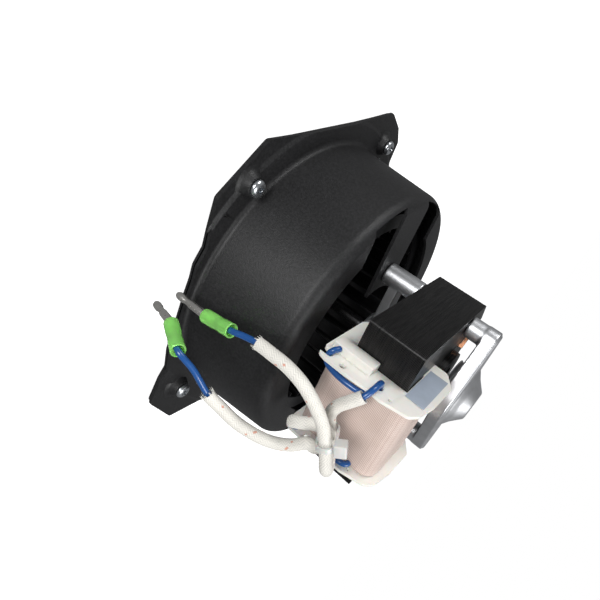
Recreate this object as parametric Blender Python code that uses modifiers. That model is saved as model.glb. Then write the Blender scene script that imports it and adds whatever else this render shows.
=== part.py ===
"""Convection blower with a shaded-pole motor: drum housing, wheel, motor and two leads.

The origin is on the shaft's axis at the underside of the back plate. +Z runs along the
shaft from the plate to the motor, and the coil is on the motor's -Y side.
"""

import math

import bmesh
import bpy
from mathutils import Matrix, Vector

MM = 0.001
GAP = 0.3 * MM                      # between pieces that touch
ROUND = 48                          # steps round the drum

# Housing, pressed from one sheet
SHEET = 1.5 * MM
PLATE_SHEET = 1.2 * MM
DRUM_RADIUS = 73.8 * MM             # outside, at the end face
DRUM_DEPTH = 50.3 * MM              # flange to end face
DRUM_DRAFT = 0.07                   # growth of the radius towards the flange
DRUM_FILLET = 6.0 * MM
BASE_FILLET = 2.5 * MM
LAND_WIDTH = 8.0 * MM               # raised ring round the drum's foot
LAND_RISE = 1.2 * MM
FLANGE_MARGIN = 32.0 * MM           # sheet beyond the drum's foot before it is trimmed
WINDOW_RADIUS = 56.5 * MM
NOTCH_RADIUS = 71.5 * MM
NOTCH_HALF_WIDTH = 34.0 * MM
ARM_HALF_WIDTH = 11.5 * MM
SHAFT_OPENING = 24.5 * MM           # radius of the hole between the arms' tips
PLATE_INSET = 1.0 * MM
PLATE_OPENING = 66.0 * MM           # radius

# Trimmed edge of the flange: (angle in degrees, reach beyond the drum's foot in mm)
FLANGE_EDGE = (
    (0, 8.5), (16, 12.5), (34, 20), (56, 20), (74, 12.5), (90, 8.5), (105, 8), (125, 8.5),
    (134.5, 13), (139.5, 21.5), (146, 24), (155, 24.5), (162, 17.5), (173, 11), (192, 9),
    (205.5, 13.5), (214, 20), (233, 18), (241, 10), (246, 6), (252, 6), (257, 4), (263, 3.5),
    (273.5, 4), (285, 8), (293, 10.5), (296, 15.5), (302.5, 25), (317, 25), (329.5, 11),
    (345, 8),
)
EDGE_ROUNDING = 3.0 * MM

# Fixing bosses and their screws
BOSS_CIRCLE_MARGIN = 9.4 * MM       # from the drum's foot to the bosses' circle
BOSS_ANGLES = (45.0, 150.0, 224.0, 305.0)
BOSS_HEIGHT = 4.2 * MM
BOSS_TOP_RADIUS = 4.6 * MM
BOSS_BASE_RADIUS = 6.4 * MM
SCREW_RADIUS = 2.0 * MM
SCREW_HEAD_RADIUS = 3.9 * MM
SCREW_HEAD_HEIGHT = 2.4 * MM
BEAD_LENGTH = 19.5 * MM
BEAD_WIDTH = 4.8 * MM
BEAD_HEIGHT = 1.2 * MM
BEAD_OFFSET = 17.0 * MM             # bead's centre from the boss, along the trimmed corner
BEAD_REACH = -2.5 * MM              # bead's centre outside the bosses' circle

# Motor frame
PILLAR_SPACING = 68.0 * MM
PILLAR_RADIUS = 5.5 * MM
FRONT_PILLAR = 19.2 * MM            # length
REAR_PILLAR = 13.7 * MM
STACK_HEIGHT = 26.2 * MM
STACK_HALF_WIDTH = 39.5 * MM
STACK_BACK = 30.0 * MM              # from the shaft to the far side
STACK_CHAMFER = 12.5 * MM
COIL_SIDE = 53.7 * MM               # from the shaft to the legs' ends
WINDOW_DEPTH = 24.5 * MM            # from the shaft to the window between the legs
LEG_GAP = 44.4 * MM                 # between the legs
CORE_BACK = 37.4 * MM               # the coil core's near side
THROUGH_BOLT_RADIUS = 2.0 * MM
BOLT_HEAD_RADIUS = 3.6 * MM
BOLT_HEAD_HEIGHT = 2.6 * MM

# Bearing brackets
ARM_WIDTH = 9.0 * MM
BRIDGE_THICKNESS = 5.0 * MM
REAR_BRIDGE_THICKNESS = 6.0 * MM
REAR_BRIDGE_HALF_WIDTH = 19.0 * MM
BOSS_RADIUS = 9.5 * MM
BEARING_RADIUS = 6.0 * MM
BEARING_LENGTH = 8.0 * MM
CLIP_THICKNESS = 0.6 * MM
REAR_BOSS_RADIUS = 12.5 * MM
REAR_CROWN_RADIUS = 16.0 * MM
CAST_STEP = 0.25 * MM               # small step where cast shapes meet

# Rotor and shaft
SHAFT_RADIUS = 3.0 * MM
ROTOR_RADIUS = 19.0 * MM
AIR_GAP = 0.4 * MM
END_RING = 3.0 * MM                 # height of the rotor's cast rings
WASHER_RADIUS = 6.0 * MM
WASHER_THICKNESS = 0.8 * MM

# Wheel
WHEEL_RADIUS = 62.0 * MM
BLADE_INNER_RADIUS = 52.0 * MM
WHEEL_BOTTOM = 9.0 * MM
WHEEL_SHEET = 1.2 * MM
WHEEL_HEIGHT = 37.0 * MM
WHEEL_RING_WIDTH = 8.0 * MM
BLADE_COUNT = 32
BLADE_SHEET = 0.8 * MM
HUB_RADIUS = 8.0 * MM
HUB_FLANGE_RADIUS = 15.0 * MM
HUB_HEIGHT = 17.0 * MM
HUB_FLANGE = 2.5 * MM
HUB_RIVET_CIRCLE = 11.5 * MM
HUB_RIVET_RADIUS = 1.5 * MM

# Bobbin, winding and label
BOBBIN_WALL = 1.0 * MM
BOBBIN_FLANGE = 1.4 * MM
WINDING_FRONT = 63.3 * MM           # from the shaft to the winding's outer side
WINDING_BACK = 28.0 * MM            # from the shaft to its inner side
WINDING_OVERHANG_LOW = 7.0 * MM     # beyond the stack, towards the drum
WINDING_OVERHANG_HIGH = 8.0 * MM
WINDING_CORNER = 8.0 * MM
BOBBIN_LOW = 9.6 * MM               # flange beyond the stack, towards the drum
BOBBIN_HIGH = 10.4 * MM
LABEL_SHEET = 0.2 * MM

# Leads
WIRE_RADIUS = 1.3 * MM
WIRE_CLEARANCE = 0.4 * MM
SLEEVE_RADIUS = 2.6 * MM
SLEEVE_WALL = 0.4 * MM
INSULATOR_RADIUS = 3.0 * MM
INSULATOR_BORE = 2.3 * MM
BULLET_RADIUS = 1.8 * MM
ROUTE_STEP = 4.0 * MM               # between the points of a lead's route
TIE_WIDTH = 2.2 * MM
TIE_THICKNESS = 0.9 * MM

# Levels along the shaft that follow from the sizes above
FLANGE_UNDER = PLATE_SHEET + GAP
FLANGE_TOP = FLANGE_UNDER + SHEET
FACE_TOP = FLANGE_TOP + DRUM_DEPTH
FACE_UNDER = FACE_TOP - SHEET
FOOT_RADIUS = DRUM_RADIUS + DRUM_DRAFT * DRUM_DEPTH
BOSS_CIRCLE = FOOT_RADIUS + BOSS_CIRCLE_MARGIN
BOSS_TOP = FLANGE_TOP + BOSS_HEIGHT
FRONT_PILLAR_BOTTOM = FACE_TOP + GAP
FRONT_PILLAR_TOP = FRONT_PILLAR_BOTTOM + FRONT_PILLAR
STACK_BOTTOM = FRONT_PILLAR_TOP + GAP
STACK_TOP = STACK_BOTTOM + STACK_HEIGHT
REAR_PILLAR_BOTTOM = STACK_TOP + GAP
REAR_PILLAR_TOP = REAR_PILLAR_BOTTOM + REAR_PILLAR
REAR_BRIDGE_BOTTOM = REAR_PILLAR_TOP - REAR_BRIDGE_THICKNESS
ROTOR_BOTTOM = STACK_BOTTOM - END_RING
ROTOR_TOP = STACK_TOP + END_RING
PILLAR_X = PILLAR_SPACING / 2
FLANGE_OUTSIDE_X = LEG_GAP / 2 - GAP
FLANGE_INSIDE_X = FLANGE_OUTSIDE_X - BOBBIN_FLANGE
WINDING_X = FLANGE_INSIDE_X - GAP
WINDING_BOTTOM = STACK_BOTTOM - WINDING_OVERHANG_LOW
WINDING_TOP = STACK_TOP + WINDING_OVERHANG_HIGH
BOBBIN_BOTTOM = STACK_BOTTOM - BOBBIN_LOW
BOBBIN_TOP = STACK_TOP + BOBBIN_HIGH

FLAT = Matrix.Identity(4)
# Local x, y and z to world Y, Z and X, for outlines that lie across the coil's axis
ACROSS_X = Matrix(((0, 0, 1, 0), (1, 0, 0, 0), (0, 1, 0, 0), (0, 0, 0, 1)))


# ---------------------------------------------------------------- scene and helpers

for old in list(bpy.data.objects):
    bpy.data.objects.remove(old, do_unlink=True)


def new_collection(name):
    collection = bpy.data.collections.new(name)
    bpy.context.scene.collection.children.link(collection)
    return collection


PARTS = new_collection("convection_blower")
CUTTERS = new_collection("cutters")


def material(name, colour, roughness, metallic=0.0):
    made = bpy.data.materials.new(name)
    made.use_nodes = True
    shader = made.node_tree.nodes["Principled BSDF"]
    shader.inputs["Base Color"].default_value = (*colour, 1.0)
    shader.inputs["Roughness"].default_value = roughness
    shader.inputs["Metallic"].default_value = metallic
    made.diffuse_color = (*colour, 1.0)
    return made


POWDER_BLACK = material("powder_black", (0.025, 0.025, 0.028), 0.5)
ZINC = material("zinc", (0.62, 0.65, 0.68), 0.3, 1.0)
CAST_ALUMINIUM = material("cast_aluminium", (0.5, 0.5, 0.52), 0.4, 1.0)
LAMINATION = material("lamination_steel", (0.06, 0.06, 0.062), 0.45, 0.7)
COPPER = material("copper", (0.7, 0.33, 0.18), 0.3, 1.0)
IVORY = material("bobbin_ivory", (0.82, 0.8, 0.73), 0.4)
COIL_TAPE = material("coil_tape", (0.68, 0.52, 0.47), 0.6)
LABEL_GREY = material("label_grey", (0.42, 0.47, 0.55), 0.5)
STEEL = material("steel", (0.55, 0.55, 0.56), 0.25, 1.0)
BRONZE = material("sintered_bronze", (0.42, 0.3, 0.15), 0.5, 1.0)
NYLON = material("nylon", (0.75, 0.73, 0.68), 0.5)
WHEEL_BLACK = material("wheel_black", (0.02, 0.02, 0.022), 0.4)
WIRE_BLUE = material("wire_blue", (0.02, 0.08, 0.3), 0.35)
BRAID = material("braid", (0.78, 0.76, 0.7), 0.8)
TIN = material("tin", (0.6, 0.58, 0.54), 0.4, 1.0)
INSULATOR_GREEN = material("insulator_green", (0.1, 0.75, 0.2), 0.2)
TIE_WHITE = material("tie_white", (0.8, 0.8, 0.78), 0.4)


def keep(obj, name, finish):
    """Puts a finished piece in the parts collection under its name."""
    obj.name = name
    obj.data.name = name
    obj.data.materials.clear()
    obj.data.materials.append(finish)
    for collection in list(obj.users_collection):
        collection.objects.unlink(obj)
    PARTS.objects.link(obj)
    return obj


def helper(obj):
    """Hides a piece that only cuts or is joined to another."""
    for collection in list(obj.users_collection):
        collection.objects.unlink(obj)
    CUTTERS.objects.link(obj)
    obj.hide_render = True
    obj.display_type = "WIRE"
    return obj


def boolean(target, tool, operation):
    modifier = target.modifiers.new(operation.lower(), "BOOLEAN")
    modifier.operation = operation
    modifier.object = helper(tool)
    modifier.solver = "EXACT"


def cut(target, *tools):
    for tool in tools:
        boolean(target, tool, "DIFFERENCE")


def join(target, *tools):
    for tool in tools:
        boolean(target, tool, "UNION")


def mesh_object(name, build, place=FLAT):
    """An object whose mesh build(bm) makes."""
    mesh = bpy.data.meshes.new(name)
    shape = bmesh.new()
    build(shape)
    shape.to_mesh(mesh)
    shape.free()
    mesh.shade_smooth()
    mesh.set_sharp_from_angle(angle=math.radians(35))
    obj = bpy.data.objects.new(name, mesh)
    PARTS.objects.link(obj)
    obj.matrix_world = place
    return obj


def box(name, low, high, bevel=0.0):
    """A box between two corners, with its edges bevelled if bevel is given."""
    low, high = Vector(low), Vector(high)

    def build(shape):
        bmesh.ops.create_cube(shape, size=1.0)
        bmesh.ops.scale(shape, vec=high - low, verts=shape.verts)

    obj = mesh_object(name, build, Matrix.Translation((low + high) / 2))
    if bevel:
        modifier = obj.modifiers.new("bevel", "BEVEL")
        modifier.width = bevel
        modifier.segments = 2
    return obj


def cylinder(name, start, end, radius, end_radius=None, sides=20):
    """A cylinder or cone from one point to another."""
    start, end = Vector(start), Vector(end)
    axis = end - start

    def build(shape):
        bmesh.ops.create_cone(
            shape, cap_ends=True, segments=sides, radius1=radius,
            radius2=radius if end_radius is None else end_radius, depth=axis.length,
        )

    turn = axis.to_track_quat("Z", "Y").to_matrix().to_4x4()
    return mesh_object(name, build, Matrix.Translation((start + end) / 2) @ turn)


def turned(name, profile, steps=32, place=FLAT):
    """A closed profile of (radius, height) turned about Z. It runs down its outer side first."""

    def build(shape):
        points = [shape.verts.new((radius, 0, height)) for radius, height in profile]
        for this, after in zip(points, points[1:] + points[:1]):
            shape.edges.new((this, after))

    obj = mesh_object(name, build, place)
    modifier = obj.modifiers.new("turn", "SCREW")
    modifier.steps = steps
    modifier.render_steps = steps
    modifier.use_merge_vertices = True
    modifier.merge_threshold = 0.00001
    modifier.use_smooth_shade = True
    return obj


def solid_of_curve(name, data, place):
    """The closed mesh of a curve, which a Boolean can take."""
    guide = bpy.data.objects.new(name, data)
    PARTS.objects.link(guide)
    guide.matrix_world = place
    bpy.context.view_layer.update()
    evaluated = guide.evaluated_get(bpy.context.evaluated_depsgraph_get())
    mesh = bpy.data.meshes.new_from_object(evaluated)
    shape = bmesh.new()
    shape.from_mesh(mesh)
    bmesh.ops.remove_doubles(shape, verts=shape.verts, dist=0.000001)
    bmesh.ops.recalc_face_normals(shape, faces=shape.faces)
    shape.to_mesh(mesh)
    shape.free()
    obj = bpy.data.objects.new(name, mesh)
    PARTS.objects.link(obj)
    obj.matrix_world = place
    bpy.data.objects.remove(guide, do_unlink=True)
    mesh.shade_smooth()
    mesh.set_sharp_from_angle(angle=math.radians(35))
    return obj


def plate(name, outlines, low, high, place=FLAT):
    """A flat piece from low to high along the local z, bounded by one or more outlines."""
    data = bpy.data.curves.new(name, "CURVE")
    data.dimensions = "2D"
    data.fill_mode = "BOTH"
    data.extrude = (high - low) / 2
    for outline in outlines:
        spline = data.splines.new("POLY")
        spline.points.add(len(outline) - 1)
        for point, (x, y) in zip(spline.points, outline):
            point.co = (x, y, 0, 1)
        spline.use_cyclic_u = True
    return solid_of_curve(name, data, place @ Matrix.Translation((0, 0, (low + high) / 2)))


def rounded(corners, radius, steps=3):
    """The outline through the corners with each one rounded, by less where its edges are short."""
    points = []
    count = len(corners)
    for index, corner in enumerate(corners):
        here = Vector(corner[:2])
        own = corner[2] if len(corner) > 2 else radius
        back = Vector(corners[index - 1][:2]) - here
        ahead = Vector(corners[(index + 1) % count][:2]) - here
        half = back.angle(ahead) / 2
        reach = min(own / math.tan(half), 0.45 * back.length, 0.45 * ahead.length)
        if reach < 0.05 * MM:
            points.append(tuple(here))
            continue
        first = here + back.normalized() * reach
        last = here + ahead.normalized() * reach
        for step in range(steps + 1):
            share = step / steps
            curve = first.lerp(here, share).lerp(here.lerp(last, share), share)
            points.append(tuple(curve))
    return points


def arc(radius, start, end, steps, centre=(0.0, 0.0)):
    """Points on a circle from one angle to another, in degrees."""
    points = []
    for step in range(steps + 1):
        angle = math.radians(start + (end - start) * step / steps)
        points.append((centre[0] + radius * math.cos(angle), centre[1] + radius * math.sin(angle)))
    return points


def polar(radius, degrees):
    return (radius * math.cos(math.radians(degrees)), radius * math.sin(math.radians(degrees)))


def smooth_path(knots, spacing):
    """Points about spacing apart on a smooth curve through the knots."""
    points = [Vector(knot) for knot in knots]
    ends = [2 * points[0] - points[1], *points, 2 * points[-1] - points[-2]]
    path = [points[0]]
    for before, start, end, after in zip(ends, ends[1:], ends[2:], ends[3:]):
        steps = max(1, round((end - start).length / spacing))
        for step in range(1, steps + 1):
            t = step / steps
            path.append(0.5 * (
                2 * start + (end - before) * t
                + (2 * before - 5 * start + 4 * end - after) * t * t
                + (3 * start - before - 3 * end + after) * t * t * t
            ))
    return path


def tube(name, path, radius, finish, capped=True):
    """A round bar along a path."""
    data = bpy.data.curves.new(name, "CURVE")
    data.dimensions = "3D"
    data.bevel_depth = radius
    data.bevel_resolution = 2
    data.use_fill_caps = capped
    spline = data.splines.new("POLY")
    spline.points.add(len(path) - 1)
    for point, place in zip(spline.points, path):
        point.co = (*place, 1)
    obj = bpy.data.objects.new(name, data)
    PARTS.objects.link(obj)
    return keep(obj, name, finish)


# ---------------------------------------------------------------- housing

def housing_profile():
    """The sheet's section from the end face out to the flange and back along its inside."""
    outer_corner = DRUM_RADIUS - DRUM_FILLET
    inner_fillet = DRUM_FILLET - SHEET
    foot = FOOT_RADIUS + BASE_FILLET
    land_top = FLANGE_TOP + LAND_RISE
    land_edge = foot + LAND_WIDTH
    edge = FOOT_RADIUS + FLANGE_MARGIN
    outside = [(SHAFT_OPENING, FACE_TOP)]
    for x, y in arc(DRUM_FILLET, 90, 4, 4, (outer_corner, FACE_TOP - DRUM_FILLET)):
        outside.append((x, y))
    for x, y in arc(BASE_FILLET, 184, 270, 3, (foot, land_top + BASE_FILLET)):
        outside.append((x, y))
    outside += [(land_edge, land_top), (land_edge + 2 * LAND_RISE, FLANGE_TOP), (edge, FLANGE_TOP)]
    inside = [(edge, FLANGE_UNDER), (land_edge + LAND_RISE, FLANGE_UNDER)]
    inside += [(land_edge - LAND_RISE, land_top - SHEET)]
    for x, y in arc(BASE_FILLET + SHEET, 270, 184, 3, (foot, land_top + BASE_FILLET)):
        inside.append((x, y))
    for x, y in arc(inner_fillet, 4, 90, 4, (outer_corner, FACE_TOP - DRUM_FILLET)):
        inside.append((x, y))
    inside.append((SHAFT_OPENING, FACE_UNDER))
    return outside + inside


def flange_outline(inset=0.0):
    corners = [polar(FOOT_RADIUS + reach * MM - inset, angle) for angle, reach in FLANGE_EDGE]
    return rounded(corners, EDGE_ROUNDING, 2)


def window_outline():
    """The opening on the +Y side of the two arms, with a notch at each end."""
    low = math.degrees(math.asin(ARM_HALF_WIDTH / NOTCH_RADIUS))
    high = math.degrees(math.asin(NOTCH_HALF_WIDTH / NOTCH_RADIUS))
    inner = math.degrees(math.asin(NOTCH_HALF_WIDTH / WINDOW_RADIUS))
    right = arc(NOTCH_RADIUS, low, high, 4)
    top = arc(WINDOW_RADIUS, inner, 180 - inner, 14)
    left = arc(NOTCH_RADIUS, 180 - high, 180 - low, 4)
    return right + top + left


def boss_place(angle):
    return polar(BOSS_CIRCLE, angle)


def make_housing():
    low, high = FACE_UNDER - DRUM_FILLET, FACE_TOP + DRUM_FILLET
    housing = turned("housing", housing_profile(), ROUND)
    trim = plate("flange_trim", [flange_outline()], -SHEET, high)
    boolean(housing, trim, "INTERSECT")
    window = window_outline()
    mirrored = [(x, -y) for x, y in reversed(window)]
    cut(housing, plate("window_plus_y", [window], low, high))
    cut(housing, plate("window_minus_y", [mirrored], low, high))
    for angle in BOSS_ANGLES:
        x, y = boss_place(angle)
        join(housing, cylinder("boss", (x, y, FLANGE_UNDER + SHEET / 4), (x, y, BOSS_TOP),
                               BOSS_BASE_RADIUS, BOSS_TOP_RADIUS))
    for angle in BOSS_ANGLES:
        x, y = boss_place(angle)
        cut(housing, cylinder("boss_hole", (x, y, -SHEET), (x, y, BOSS_TOP + SHEET),
                              SCREW_RADIUS + GAP, sides=16))
    for side in (-1, 1):
        join(housing, bead(side))
    for side in (-1, 1):
        hole = cylinder("pillar_hole", (side * PILLAR_X, 0, low), (side * PILLAR_X, 0, high),
                        THROUGH_BOLT_RADIUS + GAP, sides=16)
        cut(housing, hole)
    return keep(housing, "housing", POWDER_BLACK)


def bead(side):
    """A pressed stiffening bead beside the boss at the flange's visible trimmed corner."""
    angle = BOSS_ANGLES[2]
    radial = Vector((*polar(1.0, angle), 0))
    along = Vector((*polar(1.0, angle + 90), 0))
    centre = (BOSS_CIRCLE + BEAD_REACH) * radial + side * BEAD_OFFSET * along
    centre.z = FLANGE_TOP

    def build(shape):
        bmesh.ops.create_uvsphere(shape, u_segments=16, v_segments=8, radius=1.0)
        size = Vector((BEAD_WIDTH, BEAD_LENGTH, 2 * BEAD_HEIGHT)) / 2
        bmesh.ops.scale(shape, vec=size, verts=shape.verts)

    turn = Matrix.Rotation(math.radians(angle), 4, "Z")
    return mesh_object("bead", build, Matrix.Translation(centre) @ turn)


def make_back_plate():
    opening = arc(PLATE_OPENING, 0, 360 * (ROUND - 1) / ROUND, ROUND - 1)
    back = plate("back_plate", [flange_outline(PLATE_INSET), opening], 0, PLATE_SHEET)
    for angle in BOSS_ANGLES:
        x, y = boss_place(angle)
        cut(back, cylinder("plate_hole", (x, y, -SHEET), (x, y, PLATE_SHEET + SHEET),
                           SCREW_RADIUS + GAP, sides=16))
    return keep(back, "back_plate", POWDER_BLACK)


def make_flange_screws():
    for index, angle in enumerate(BOSS_ANGLES, 1):
        x, y = boss_place(angle)
        seat = BOSS_TOP + GAP
        crown = seat + SCREW_HEAD_HEIGHT
        profile = [
            (0.9 * MM, crown), (SCREW_HEAD_RADIUS * 0.7, crown),
            (SCREW_HEAD_RADIUS, crown - SCREW_HEAD_HEIGHT * 0.5), (SCREW_HEAD_RADIUS, seat),
            (SCREW_RADIUS, seat), (SCREW_RADIUS, 0.2 * MM), (0.9 * MM, 0.2 * MM),
        ]
        screw = turned("flange_screw", profile, 16, Matrix.Translation((x, y, 0)))
        core = cylinder("screw_core", (x, y, 0.2 * MM), (x, y, crown - 1.2 * MM), 1.1 * MM, sides=8)
        join(screw, core)
        keep(screw, f"flange_screw_{index}", ZINC)


# ---------------------------------------------------------------- brackets and bearings

def pocket_cut(low, high, open_end):
    """The bearing's pocket and the shaft's clearance through a bracket's boss."""
    pocket_low, pocket_high = sorted((low, high))
    pocket = cylinder("pocket", (0, 0, pocket_low), (0, 0, pocket_high), BEARING_RADIUS + GAP)
    passage = cylinder("passage", (0, 0, open_end[0]), (0, 0, open_end[1]), SHAFT_RADIUS + 2 * GAP,
                       sides=20)
    return pocket, passage


FRONT_BRIDGE_BOTTOM = FRONT_PILLAR_BOTTOM + 4.9 * MM
FRONT_BOSS_TOP = ROTOR_BOTTOM - 3.1 * MM
FRONT_BEARING_TOP = FRONT_BOSS_TOP - CLIP_THICKNESS - 2 * GAP
FRONT_BEARING_BOTTOM = FRONT_BEARING_TOP - BEARING_LENGTH
FRONT_BOSS_BOTTOM = FRONT_BEARING_BOTTOM - 2.0 * MM
REAR_BOSS_BOTTOM = ROTOR_TOP + 2.2 * MM
REAR_BEARING_BOTTOM = REAR_BOSS_BOTTOM + CLIP_THICKNESS + 2 * GAP
REAR_BEARING_TOP = REAR_BEARING_BOTTOM + BEARING_LENGTH
REAR_BOSS_TOP = REAR_PILLAR_TOP + 7.7 * MM


def make_front_bracket():
    boss = cylinder("front_bracket", (0, 0, FRONT_BOSS_BOTTOM), (0, 0, FRONT_BOSS_TOP),
                    BOSS_RADIUS, sides=32)
    bridge_top = FRONT_BRIDGE_BOTTOM + BRIDGE_THICKNESS
    join(boss, box("front_bridge", (-PILLAR_X, -ARM_WIDTH / 2, FRONT_BRIDGE_BOTTOM),
                   (PILLAR_X, ARM_WIDTH / 2, bridge_top)))
    for side in (-1, 1):
        x = side * PILLAR_X
        join(boss, cylinder("front_pillar", (x, 0, FRONT_PILLAR_BOTTOM), (x, 0, FRONT_PILLAR_TOP),
                            PILLAR_RADIUS))
    for side in (-1, 1):
        x = side * PILLAR_X
        cut(boss, cylinder("bolt_way", (x, 0, FACE_UNDER), (x, 0, STACK_BOTTOM),
                           THROUGH_BOLT_RADIUS + GAP, sides=16))
    cut(boss, *pocket_cut(FRONT_BEARING_BOTTOM - GAP, STACK_BOTTOM,
                          (FRONT_BOSS_BOTTOM - SHEET, STACK_BOTTOM)))
    return keep(boss, "front_bracket", CAST_ALUMINIUM)


def lozenge():
    """The rear bridge's outline: round ends at the pillars and a wide round middle."""
    middle, end = REAR_BRIDGE_HALF_WIDTH, PILLAR_RADIUS
    lean = math.degrees(math.asin((middle - end) / PILLAR_X))
    turn = 90 - lean
    right = arc(end, -turn, turn, 6, (PILLAR_X, 0))
    top = arc(middle, turn, 180 - turn, 6)
    left = arc(end, 180 - turn, 180 + turn, 6, (-PILLAR_X, 0))
    bottom = arc(middle, 180 + turn, 360 - turn, 6)
    return right + top + left + bottom


def make_rear_bracket():
    bracket = plate("rear_bracket", [lozenge()], REAR_BRIDGE_BOTTOM, REAR_PILLAR_TOP)
    crown = REAR_PILLAR_TOP + 3.4 * MM
    shoulder = REAR_PILLAR_TOP - 2 * SHEET
    profile = [
        (SHAFT_RADIUS, REAR_BOSS_TOP), (7.5 * MM, REAR_BOSS_TOP), (REAR_BOSS_RADIUS, crown),
        (REAR_CROWN_RADIUS, REAR_PILLAR_TOP + 1.2 * MM), (REAR_CROWN_RADIUS, shoulder),
        (REAR_BOSS_RADIUS, REAR_BRIDGE_BOTTOM + SHEET),
        (REAR_BOSS_RADIUS + 3.0 * MM, REAR_BOSS_BOTTOM), (SHAFT_RADIUS, REAR_BOSS_BOTTOM),
    ]
    join(bracket, turned("rear_boss", profile, 32))
    for side in (-1, 1):
        x = side * PILLAR_X
        pillar_top = REAR_PILLAR_TOP - REAR_BRIDGE_THICKNESS / 2
        join(bracket, cylinder("rear_pillar", (x, 0, REAR_PILLAR_BOTTOM), (x, 0, pillar_top),
                               PILLAR_RADIUS - CAST_STEP))
    for side in (-1, 1):
        x = side * PILLAR_X
        cut(bracket, cylinder("bolt_socket", (x, 0, STACK_TOP),
                              (x, 0, REAR_PILLAR_TOP - 2.0 * MM), THROUGH_BOLT_RADIUS + GAP,
                              sides=16))
    cut(bracket, *pocket_cut(STACK_TOP, REAR_BEARING_TOP + GAP,
                             (STACK_TOP, REAR_BOSS_TOP + SHEET)))
    return keep(bracket, "rear_bracket", CAST_ALUMINIUM)


def make_bearings():
    for name, low in (("front_bearing", FRONT_BEARING_BOTTOM), ("rear_bearing", REAR_BEARING_BOTTOM)):
        bore = SHAFT_RADIUS + GAP / 2
        high = low + BEARING_LENGTH
        waist = BEARING_LENGTH * 0.2
        profile = [
            (bore, high), (BEARING_RADIUS - 1.5 * MM, high), (BEARING_RADIUS, high - waist),
            (BEARING_RADIUS, low + waist), (BEARING_RADIUS - 1.5 * MM, low), (bore, low),
        ]
        keep(turned(name, profile, 24), name, BRONZE)
    clips = (
        ("front_bearing_clip", FRONT_BEARING_TOP + GAP),
        ("rear_bearing_clip", REAR_BEARING_BOTTOM - GAP - CLIP_THICKNESS),
    )
    for name, low in clips:
        high = low + CLIP_THICKNESS
        bore = SHAFT_RADIUS + 1.5 * MM
        edge = BEARING_RADIUS
        profile = [(bore, high), (edge, high), (edge, low), (bore, low)]
        keep(turned(name, profile, 24), name, STEEL)


# ---------------------------------------------------------------- stator

SHADING_ANGLES = (145.0, 325.0)
SHADING_BAR = 1.5 * MM
SHADING_REACH = 7.0 * MM            # from the rotor's bore to the ring's outer leg


def make_stator_stack():
    side, leg = STACK_HALF_WIDTH, LEG_GAP / 2
    straight = STACK_BACK - STACK_CHAMFER
    corners = [
        (side, -COIL_SIDE, 2.0 * MM), (side, straight), (side - STACK_CHAMFER, STACK_BACK),
        (-side + STACK_CHAMFER, STACK_BACK), (-side, straight), (-side, -COIL_SIDE, 2.0 * MM),
        (-leg, -COIL_SIDE, 0.0), (-leg, -WINDOW_DEPTH, 0.0), (leg, -WINDOW_DEPTH, 0.0),
        (leg, -COIL_SIDE, 0.0),
    ]
    stack = plate("stator_stack", [rounded(corners, 3.0 * MM, 3)], STACK_BOTTOM, STACK_TOP)
    low, high = STACK_BOTTOM - SHEET, STACK_TOP + SHEET
    cut(stack, cylinder("rotor_bore", (0, 0, low), (0, 0, high), ROTOR_RADIUS + AIR_GAP, sides=40))
    for side in (-1, 1):
        x = side * PILLAR_X
        cut(stack, cylinder("bolt_hole", (x, 0, low), (x, 0, high), THROUGH_BOLT_RADIUS + GAP,
                            sides=16))
    for angle in SHADING_ANGLES:
        for reach in shading_legs():
            x, y = polar(reach, angle)
            slot = box("shading_slot", (-SHADING_BAR / 2 - GAP, -SHADING_BAR / 2 - GAP, low),
                       (SHADING_BAR / 2 + GAP, SHADING_BAR / 2 + GAP, high))
            turn = Matrix.Rotation(math.radians(angle), 4, "Z")
            slot.matrix_world = Matrix.Translation((x, y, 0)) @ turn @ slot.matrix_world
            cut(stack, slot)
    return keep(stack, "stator_stack", LAMINATION)


def shading_legs():
    """How far each leg of a shading ring is from the shaft."""
    inner = ROTOR_RADIUS + AIR_GAP + GAP + SHADING_BAR / 2
    return inner, inner + SHADING_REACH


def make_shading_rings():
    """Closed copper loops round a slice of each pole."""
    for index, angle in enumerate(SHADING_ANGLES, 1):
        inner, outer = shading_legs()
        half = SHADING_BAR / 2
        low, high = STACK_BOTTOM - GAP - SHADING_BAR, STACK_TOP + GAP + SHADING_BAR
        ring = box("shading_ring", (inner - half, -half, low), (outer + half, half, high))
        hole = box("shading_hole", (inner + half, -2 * half, low + SHADING_BAR),
                   (outer - half, 2 * half, high - SHADING_BAR))
        turn = Matrix.Rotation(math.radians(angle), 4, "Z")
        for piece in (ring, hole):
            piece.matrix_world = turn @ piece.matrix_world
        cut(ring, hole)
        keep(ring, f"shading_ring_{index}", COPPER)


def make_coil_core():
    half = LEG_GAP / 2 - GAP
    core = box("coil_core", (-half, -COIL_SIDE + GAP, STACK_BOTTOM), (half, -CORE_BACK, STACK_TOP))
    return keep(core, "coil_core", LAMINATION)


# ---------------------------------------------------------------- bobbin and winding

NOTCH_Y = -64.2 * MM                # centre of the wire's notch in each flange
NOTCH_TOP = BOBBIN_BOTTOM + 5.8 * MM
LEAD_HOLE = (-62.0 * MM, STACK_BOTTOM + 18.0 * MM)


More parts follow.
